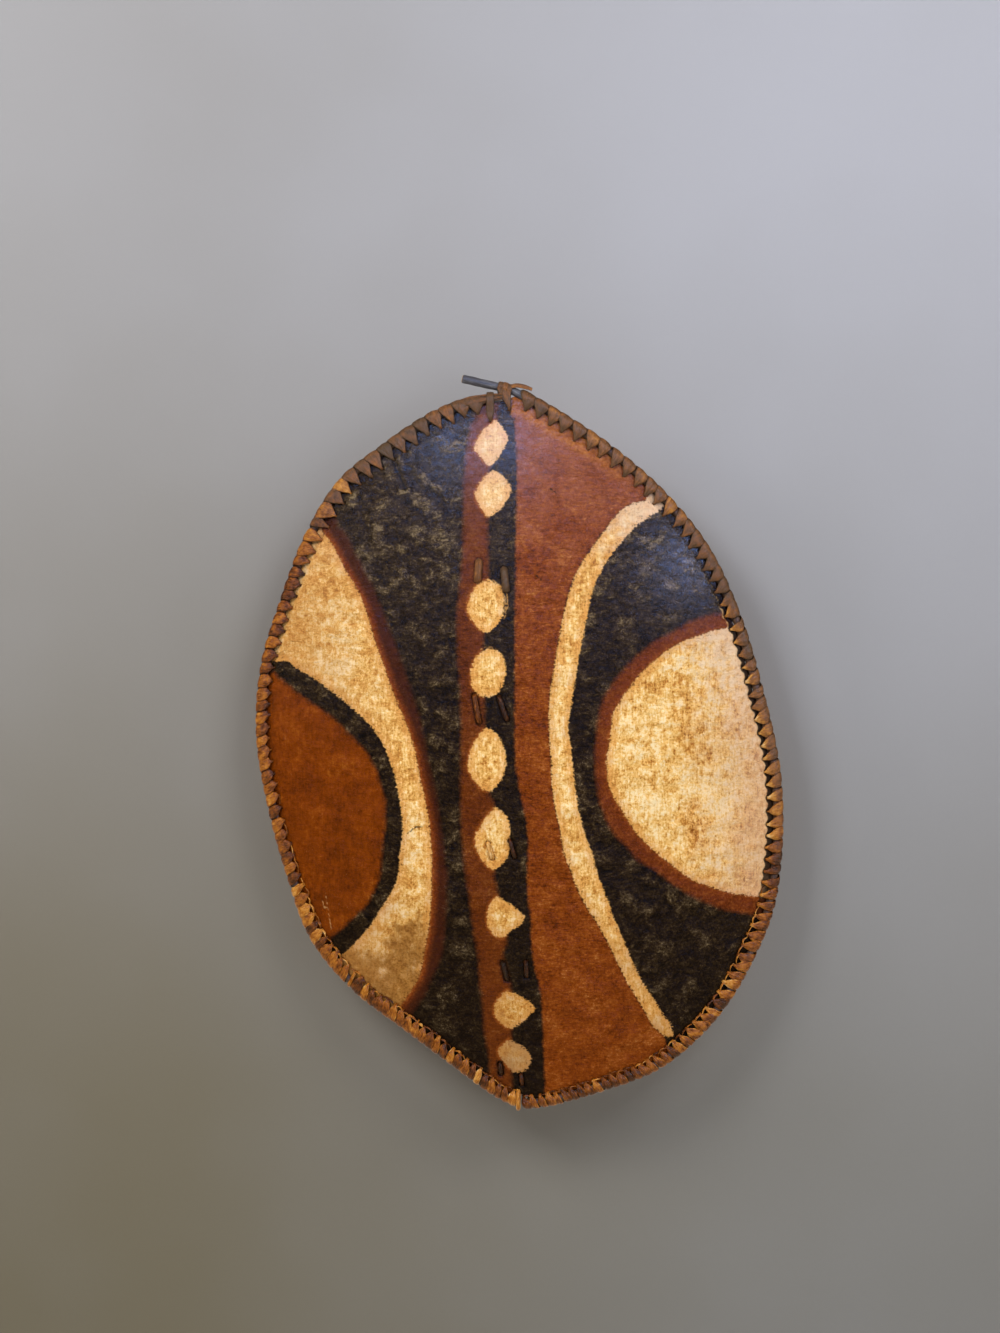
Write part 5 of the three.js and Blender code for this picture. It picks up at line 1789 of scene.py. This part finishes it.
class HideFinish(Finish):
    """The painted hide's finish: its shares by name, and a call for each of its colours."""

    def __init__(self):
        super().__init__("painted_hide", HIDE_NOISES)
        self.share = {
            name: self.span(self.stirred(self.measure(measure), **pushes), *span)
            for name, (measure, pushes, span) in HIDE_SHARES.items()
        }
        # Darker and warmer towards the foot and the left: partly grime, partly painted shade of the light
        # falling off towards the lower left
        down = self.total(self.times(self.measure("up"), -0.8), self.times(self.measure("across"), -0.18))
        self.shade_and_grime = self.span(self.stirred(down, blotch=0.35), 0.1, 0.95)

    def black(self):
        # Painted highlight: the black is paler on the ridges of the crumpled hide
        middle = self.total(self.times(self.share["ridge"], 0.25), self.share["crown_lit_black"])
        colour = self.ramp(
            self.stirred(middle, crumple=0.6, speck=0.6, grain=0.5, mottle=0.3),
            (0.05, "#080502"), (0.35, "#1C1208"), (0.58, "#2E2110"), (0.8, "#4A3C29"), (1.0, "#7A6A50"))
        return self.blend(self.times(self.shade_and_grime, 0.55), colour, "#160A03")

    def lens(self):
        return self.ramp(
            self.stirred(0.46, blotch=0.45, brushed=0.3, mottle=0.4, speck=0.3, grain=0.25),
            (0.05, "#4A1E02"), (0.4, "#6C3002"), (0.62, "#7E3A03"), (0.95, "#9C5A18"))

    def panel(self):
        colour = self.ramp(
            self.stirred(0.5, blotch=0.45, mottle=0.4, hair=0.5, speck=0.6, grain=0.4),
            (0.05, "#421B04"), (0.36, "#703309"), (0.58, "#85410E"), (0.8, "#9C581F"), (1.0, "#BC8048"))
        # Painted reflection: the panel made rosier towards the crown, for the sheen of cool light from above
        return self.layered(
            colour, (self.times(self.shade_and_grime, 0.6), self.blend(0.45, "#7A3801", colour)),
            (self.times(self.share["painted_crown_sheen"], 0.35), "#9C6450"))

    def red(self):
        colour = self.ramp(
            self.stirred(0.5, mottle=0.5, speck=0.6, grain=0.3),
            (0.05, "#47200A"), (0.5, "#74340F"), (0.95, "#A05A24"))
        strength = self.calc("SUBTRACT", 0.85, self.times(self.measure("right_side"), 0.64))
        return self.blend(self.times(self.share["far_from_white"], strength), colour, "#2E150A")

    def cream(self):
        """The white paint: thin by its edge, darker and browner at the foot and left with grime and painted
        shade, pinker by the right rim, and rosy at the crown and upper right as a painted reflection.
        """
        colour = self.ramp(
            self.stirred(0.56, speck=0.7, mottle=0.75, blotch=0.6, brushed=0.5, grain=0.5),
            (0.0, "#8A5018"), (0.22, "#C08238"), (0.45, "#E4B060"), (0.65, "#F5CE86"), (0.9, "#FFEAC2"))
        soiled = self.ramp(self.stirred(0.5, mottle=0.7, speck=0.6), (0.2, "#5E3810"), (0.8, "#A87434"))
        up_right = self.total(self.times(self.measure("up"), 0.7), self.times(self.measure("across"), 0.7))
        # Painted reflection: the upper right made rosy, for the sheen of cool light there
        sheen_corner = self.span(self.stirred(up_right, mottle=0.3), 0.55, 0.88, 0.0, 0.7)
        colour = self.layered(
            colour, (self.share["thin_paint"], "#DC9F55"), (self.times(self.shade_and_grime, 0.72), "#A2641C"),
            (self.times(self.share["low"], self.share["left_half"], 0.85), soiled),
            (self.share["right"], "#D2AA92"), (sheen_corner, "#E8CFBC"), (self.share["foot"], "#9C7A56"),
            (self.share["left"], "#B27C42"))
        # Painted reflection of cool light: rosier towards the crown
        rosy = self.blend(0.5, "#E6C4B4", colour)
        return self.blend(self.times(self.share["painted_crown_sheen"], 0.8), colour, rosy)

    def white_share(self):
        """Where white paint lies: ragged at its edge, rubbed thin near it, with thin strokes beside."""
        rubbed = self.span(self.stirred(self.noises["speck"], grain=0.3, brushed=0.2), 0.28, 0.42)
        bare = self.times(self.share["near_edge"], self.rest_of(rubbed))
        kept = self.times(self.share["white"], self.rest_of(bare))
        return self.calc("MAXIMUM", kept, self.share["strokes"])

    def fields(self):
        """The painted fields over the black ground, warmer beside the white."""
        panel = self.panel()
        colour = self.layered(
            self.black(), (self.share["lens"], self.lens()),
            (self.share["stripe"], self.blend(0.5, panel, "#3A1C0A")),
            (self.share["panel"], panel), (self.share["lines"], self.red()))
        warmed = self.calc("MAXIMUM", self.share["lines"], self.share["stripe"])
        return self.blend(self.times(self.share["beside_white"], warmed, 0.5), colour, "#A95C20")

    def raw(self):
        """The bare hide of the back."""
        return self.ramp(
            self.stirred(0.5, blotch=0.5, mottle=0.4, hair=0.35),
            (0.1, "#5E4025"), (0.4, "#8C6840"), (0.62, "#AE8C62"), (0.95, "#CFB690"))

    def worn(self, colour, white):
        """The paint with dusty flecks and a painted highlight on its ridges, bare crown, scratches, a dark
        margin of bare hide and painted shade with a pale lip of wear and painted highlight, and stitches.
        """
        dust_and_glint = self.span(self.stirred(self.noises["grain"], speck=0.3), 0.66, 0.80, 0.0, 0.5)
        orange = self.ramp(
            self.stirred(0.5, speck=0.5, mottle=0.4), (0.1, "#5E2E10"), (0.5, "#9C5A22"), (0.9, "#C58A4C"))
        lip = self.times(self.share["outer_lip"], self.share["inner_lip"], self.share["bent_lip"])
        chafed = self.span(self.stirred(self.noises["speck"], grain=0.3, mottle=0.5), 0.42, 0.62)
        unpainted = self.rest_of(self.times(white, 0.85))
        return self.layered(
            # Pale flecks on the ridges: dusty, and a painted highlight where the ridges catch the light
            colour, (self.times(dust_and_glint, self.share["ridge"]), "#A8977C"),
            (self.times(self.share["by_rim"], self.measure("bare")), orange),
            (self.times(self.share["scratch"], 0.8), "#15100B"), (self.share["pale_scratch"], "#C99A62"),
            # Painted shade, with bare dark hide: the margin darkens beyond the crest, where it bends back
            # towards the rod
            (self.times(self.share["margin"], self.share["shaded_bare_margin"]), "#1E120A"),
            # Pale lip along the crest: worn paint, and a painted highlight where the crest catches the light
            (self.times(lip, chafed), "#DDB98A"),
            (self.times(self.share["by_stitch"], unpainted), "#1B120B"))

    def relief(self, white):
        crumple = self.times(self.swing(self.noises["crumple"], CRUMPLE_RELIEF), self.share["crumpled"])
        net = self.span(self.cracks(NET_SIZE, NET_STRETCH), 0.0, NET_RELIEF)
        return self.stirred(self.total(
            crumple, self.times(net, NET_RELIEF), self.times(white, PAINT_RELIEF),
            self.times(self.share["scratch"], SCRATCH_RELIEF),
            self.times(self.share["pale_scratch"], PALE_SCRATCH_RELIEF)), **HIDE_RELIEF)


def hide_material():
    made = HideFinish()
    white = made.white_share()
    front = made.worn(made.blend(white, made.fields(), made.cream()), white)
    made.bump(made.relief(white))
    polished = made.measure("polished")
    roughness = made.stirred(made.total(
        0.30, made.times(white, 0.2), made.times(polished, -0.06),
        made.times(made.measure("behind"), 0.25)), mottle=0.2, grain=0.12)
    specular = made.total(made.share["sheen"], made.times(polished, 0.9))
    colour = made.blend(made.share["behind"], front, made.raw())
    return made.finish(colour, roughness, Specular_IOR_Level=specular)


def lacing_material(name, gloss):
    """Dried rawhide: orange-brown, dusty towards the crown, with painted shade on its edges where one turn
    slips under another, and edges worn and painted with highlight lower down.
    """
    made = Finish(name, STRIP_NOISES)
    height = made.along("Z")
    high = made.span(made.stirred(height, patch=HIGH_PUSH), *HIGH_SPAN)
    by_edge = made.span(made.stirred(made.measure("strip_edge"), fibre=0.4), 0.78, 1.0)
    # Painted light on the edges: paler low down, partly wear and partly painted highlight; darker high up,
    # painted shade where one turn slips under another; a little darker where the strip bunches at a hole,
    # painted shade
    value = made.stirred(made.total(
        made.measure("tone"), made.times(by_edge, made.rest_of(high), 0.16),
        made.times(by_edge, high, -0.26), made.times(made.measure("bunch"), -0.05)),
        patch=0.42, fibre=0.34)
    colour = made.ramp(
        value,
        (0.0, "#0E0602"), (0.2, "#341604"), (0.36, "#5C2D0A"), (0.5, "#8C4D12"),
        (0.66, "#B87624"), (0.82, "#D8A254"), (1.0, "#F4DCB0"))
    up_right = made.total(height, made.times(made.along("X"), 0.65))
    dusty = made.times(
        made.span(made.stirred(up_right, patch=DUSTY_PUSH), *DUSTY_SPAN, 0.0, 0.85),
        made.span(value, 0.5, 0.8, 1.0, 0.3))
    colour = made.blend(dusty, colour, made.blend(0.4, "#6C5745", colour))
    made.bump(made.stirred(0.0, **STRIP_RELIEF))
    return made.finish(colour, made.stirred(gloss, patch=0.16, fibre=0.14), Specular_Tint="#FFE0B4")


def wood_material(name, stops, end_colour, fibre_size, roughness, relief, weathered=0.0):
    """Wood whose fibre runs along the stick, greyed up to that distance from its end by weathering and a
    painted bluish reflection of cool light.
    """
    made = Finish(name, {
        "fibre": {"size": fibre_size, "detail": 5, "stretch": (1, 1, 12), "warp": 0.3, **WOOD_NOISE},
        "patch": {"size": WOOD_PATCH_SIZE, "detail": 4, "stretch": (1, 1, 2.5), **WOOD_NOISE},
        "split": {"size": fibre_size * 1.6, "detail": 2, "stretch": (1, 1, 26), "place": "grain_place"},
    })
    whole = made.span(made.noises["split"], 0.30, 0.38)
    colour = made.ramp(made.stirred(0.5, fibre=0.3, patch=0.35), *stops)
    colour = made.blend(made.times(made.rest_of(whole), 0.55), colour, "#21160E")
    from_end = made.measure("from_end")
    if weathered:
        # Weathered greying, with a bluish cast that is a painted reflection of cool light
        weathered_and_sheen_grey = made.ramp(
            made.stirred(0.5, fibre=0.5, patch=0.5),
            (0.1, "#25232A"), (0.4, "#43444E"), (0.62, "#62656F"), (0.9, "#9498A2"))
        colour = made.blend(made.span(from_end, weathered * 0.8, weathered, 0.9, 0.0), colour, weathered_and_sheen_grey)
    colour = made.blend(made.span(from_end, *CUT_END_SPAN, 1.0, 0.0), colour, end_colour)
    made.bump(made.stirred(made.times(whole, relief * 1.5), fibre=relief, patch=relief))
    return made.finish(colour, made.stirred(roughness, patch=0.12, fibre=0.08))


RIM_FIBRE_SIZE = 1.1
RIM_RELIEF = 0.12
RIM_WEATHERED_END = 100
STAVE_FIBRE_SIZE = 0.9
STAVE_RELIEF = 0.08


def rim_wood():
    stops = ((0.15, "#2A1A10"), (0.4, "#46301F"), (0.62, "#644934"), (0.88, "#86694E"))
    return wood_material(
        "rim_wood", stops, "#A98C66", RIM_FIBRE_SIZE, 0.55, RIM_RELIEF, RIM_WEATHERED_END)


def stave_wood():
    stops = ((0.15, "#3E2513"), (0.4, "#634020"), (0.62, "#80562E"), (0.88, "#A27743"))
    return wood_material("stave_wood", stops, "#B08D5C", STAVE_FIBRE_SIZE, 0.42, STAVE_RELIEF)


# The stage

WALL_DEPTH = 38
WALL_HALF_WIDTH = 640
WALL_TOP = 900
WALL_SHADE_TOP = 680
WALL_SHADE_FOOT = -520
WALL_SHADE_SIDE = 420
FLOOR_HEIGHT = -620
FLOOR_REACH = 3200
CROWN_AIM_HEIGHT = 300
ROOM_COLOUR = "#E9E9E6"
ROOM_STRENGTH = 0.14

# The lamps: place, height of the point aimed at, width and height, power, colour, and whether each
# one lights matt surfaces and whether it shows in glossy ones
LAMPS = {
    "key": ((-1100, -1250, 1250), MIDDLE_Z, (700, 700), 26, (1.0, 0.96, 0.88), True, False),
    "high_right": ((990, -1380, 1440), MIDDLE_Z, (900, 900), 18, (1.0, 0.95, 0.86), True, False),
    "fill": ((1100, -1900, -75), MIDDLE_Z, (1400, 500), 6.2, (1.0, 0.92, 0.80), True, False),
    "sky_left": ((-480, -2050, 1080), CROWN_AIM_HEIGHT, (520, 380), 26, (0.16, 0.38, 1.0), False, True),
    "sky_middle": ((900, -1900, 940), CROWN_AIM_HEIGHT, (900, 260), 10, (0.60, 0.55, 1.0), False, True),
    "sky_right": ((1130, -1720, 590), CROWN_AIM_HEIGHT, (520, 420), 20, (0.17, 0.39, 1.0), False, True),
    "glint_left": ((-1900, -750, 800), MIDDLE_Z, (500, 500), 9, (1.0, 0.88, 0.70), True, True),
    "glint_right": ((1900, -750, 900), MIDDLE_Z, (500, 500), 7, (1.0, 0.90, 0.74), True, True),
    "back_left": ((-500, 2400, 1300), MIDDLE_Z, (1500, 1500), 34, (1.0, 0.98, 0.95), True, False),
    "back_right": ((700, 2400, 300), MIDDLE_Z, (1500, 1500), 22, (0.95, 0.97, 1.0), True, False),
}


def stage_plane(name, corners, material):
    plane = make_object(name, corners, [(0, 1, 2, 3)])
    plane.data.materials.append(material)
    return plane


def wall_material():
    """Pale paper, seen from its front only, painted lighter and bluer towards the top and the right and
    darker towards the floor, as painted light.
    """
    made = Finish("wall_paper", WALL_NOISES)
    # Painted light: darker towards the floor and lighter and bluer up and to the right
    painted_light_rise = made.span(made.along("Z"), WALL_SHADE_FOOT, WALL_SHADE_TOP)
    right = made.span(made.along("X"), -WALL_SHADE_SIDE, WALL_SHADE_SIDE)
    right = made.stirred(right, cloud=0.10)
    low = made.blend(right, "#757062", "#858688")
    high = made.blend(right, "#9597A0", "#A9AEC0")
    colour = made.blend(made.stirred(painted_light_rise, fleck=0.02, cloud=0.10), low, high)
    material = made.finish(colour, 0.9, Specular_IOR_Level=0.1)
    clear = made.add("ShaderNodeBsdfTransparent")
    behind = made.add("ShaderNodeNewGeometry").outputs["Backfacing"]
    choice = made.add("ShaderNodeMixShader", {"Fac": behind})
    made.put(choice.inputs[1], made.skin.outputs["BSDF"])
    made.put(choice.inputs[2], clear.outputs["BSDF"])
    made.put(made.output.inputs["Surface"], choice.outputs["Shader"])
    return material


def floor_material():
    made = Finish("floor_plain", FLOOR_NOISES)
    return made.finish(made.ramp(made.noises["fleck"], (0.3, "#CFCDC8"), (0.7, "#D6D4CF")), 0.8)


def area_light(name, place, aim_height, size, power, colour, diffuse, gloss):
    """A soft lamp that is as wide and high as the size, aimed at a height of the shield's middle."""
    data = bpy.data.lights.new(name, "AREA")
    data.shape = "RECTANGLE"
    data.size, data.size_y = (length * MM for length in size)
    data.energy = power
    data.color = colour
    light = bpy.data.objects.new(name, data)
    light.location = Vector(place) * MM
    aim = Vector((MIDDLE_X, 0, aim_height)) * MM - light.location
    light.rotation_euler = aim.to_track_quat("-Z", "Y").to_euler()
    light.visible_diffuse = diffuse
    light.visible_glossy = gloss
    bpy.context.scene.collection.objects.link(light)


def make_stage():
    wall = [
        (-WALL_HALF_WIDTH, WALL_DEPTH, FLOOR_HEIGHT), (WALL_HALF_WIDTH, WALL_DEPTH, FLOOR_HEIGHT),
        (WALL_HALF_WIDTH, WALL_DEPTH, WALL_TOP), (-WALL_HALF_WIDTH, WALL_DEPTH, WALL_TOP),
    ]
    plane = stage_plane("wall", wall, wall_material())
    plane.visible_shadow = False
    plane.visible_diffuse = False
    plane.visible_glossy = False
    signs = ((-1, -1), (1, -1), (1, 1), (-1, 1))
    floor = [(x * FLOOR_REACH, y * FLOOR_REACH, FLOOR_HEIGHT) for x, y in signs]
    stage_plane("floor", floor, floor_material())
    for name, settings in LAMPS.items():
        area_light(name, *settings)
    world = bpy.data.worlds.new("soft_room")
    world.use_nodes = True
    background = world.node_tree.nodes["Background"]
    background.inputs["Color"].default_value = linear(ROOM_COLOUR)
    background.inputs["Strength"].default_value = ROOM_STRENGTH
    bpy.context.scene.world = world
    bpy.context.scene.view_settings.view_transform = "Standard"


def make_camera():
    data = bpy.data.cameras.new("photo_view")
    data.lens = LENS
    data.sensor_width = SENSOR
    camera = bpy.data.objects.new("photo_view", data)
    camera.location = Vector(CAMERA) * MM
    camera.rotation_euler = (math.radians(90), 0, 0)
    bpy.context.scene.collection.objects.link(camera)
    bpy.context.scene.camera = camera


# The thongs of the front stitches: their node, tones on the left and right, and size in front
STITCHED_THONGS = {
    "upper": ("stave_thong_upper", (0.44, 0.12), 1.45),
    "above_grip": ("stave_thong_above_grip", (0.34, 0.14), 0.95),
    "below_grip": ("stave_thong_below_grip", (0.80, 0.14), 0.8),
    "lower": ("stave_thong_lower", (0.06, 0.12), 0.85),
    "foot": ("foot_lashing", (0.12, 0.18), 0.8),
}


def finished(pieces, material):
    for piece in pieces:
        piece.data.materials.append(material)


def dress():
    """Makes every piece of the shield and gives it its finish."""
    finished([painted_hide()], hide_material())
    rods = [
        rim_rod("left_rod", LEFT_ROD, "rim_rod_left", (0.18, 0.47, 0.8)),
        rim_rod("right_rod", RIGHT_ROD, "rim_rod_right", (0.22, 0.55, 0.74, 0.955)),
    ]
    finished(rods, rim_wood())
    finished([carrying_stave()], stave_wood())
    strips = side_lacing("left", LEFT_LACING) + side_lacing("right", RIGHT_LACING)
    finished(strips, lacing_material("lacing_hide", 0.30))
    thongs = [
        paired_thong(f"{name}_thong", STITCHES_PX[name], node, tones, front_size, seed)
        for seed, (name, (node, tones, front_size)) in enumerate(STITCHED_THONGS.items())
    ]
    finished([*thongs, head_thong(), foot_thong()], lacing_material("thong_hide", 0.42))


make_camera()
make_stage()
dress()
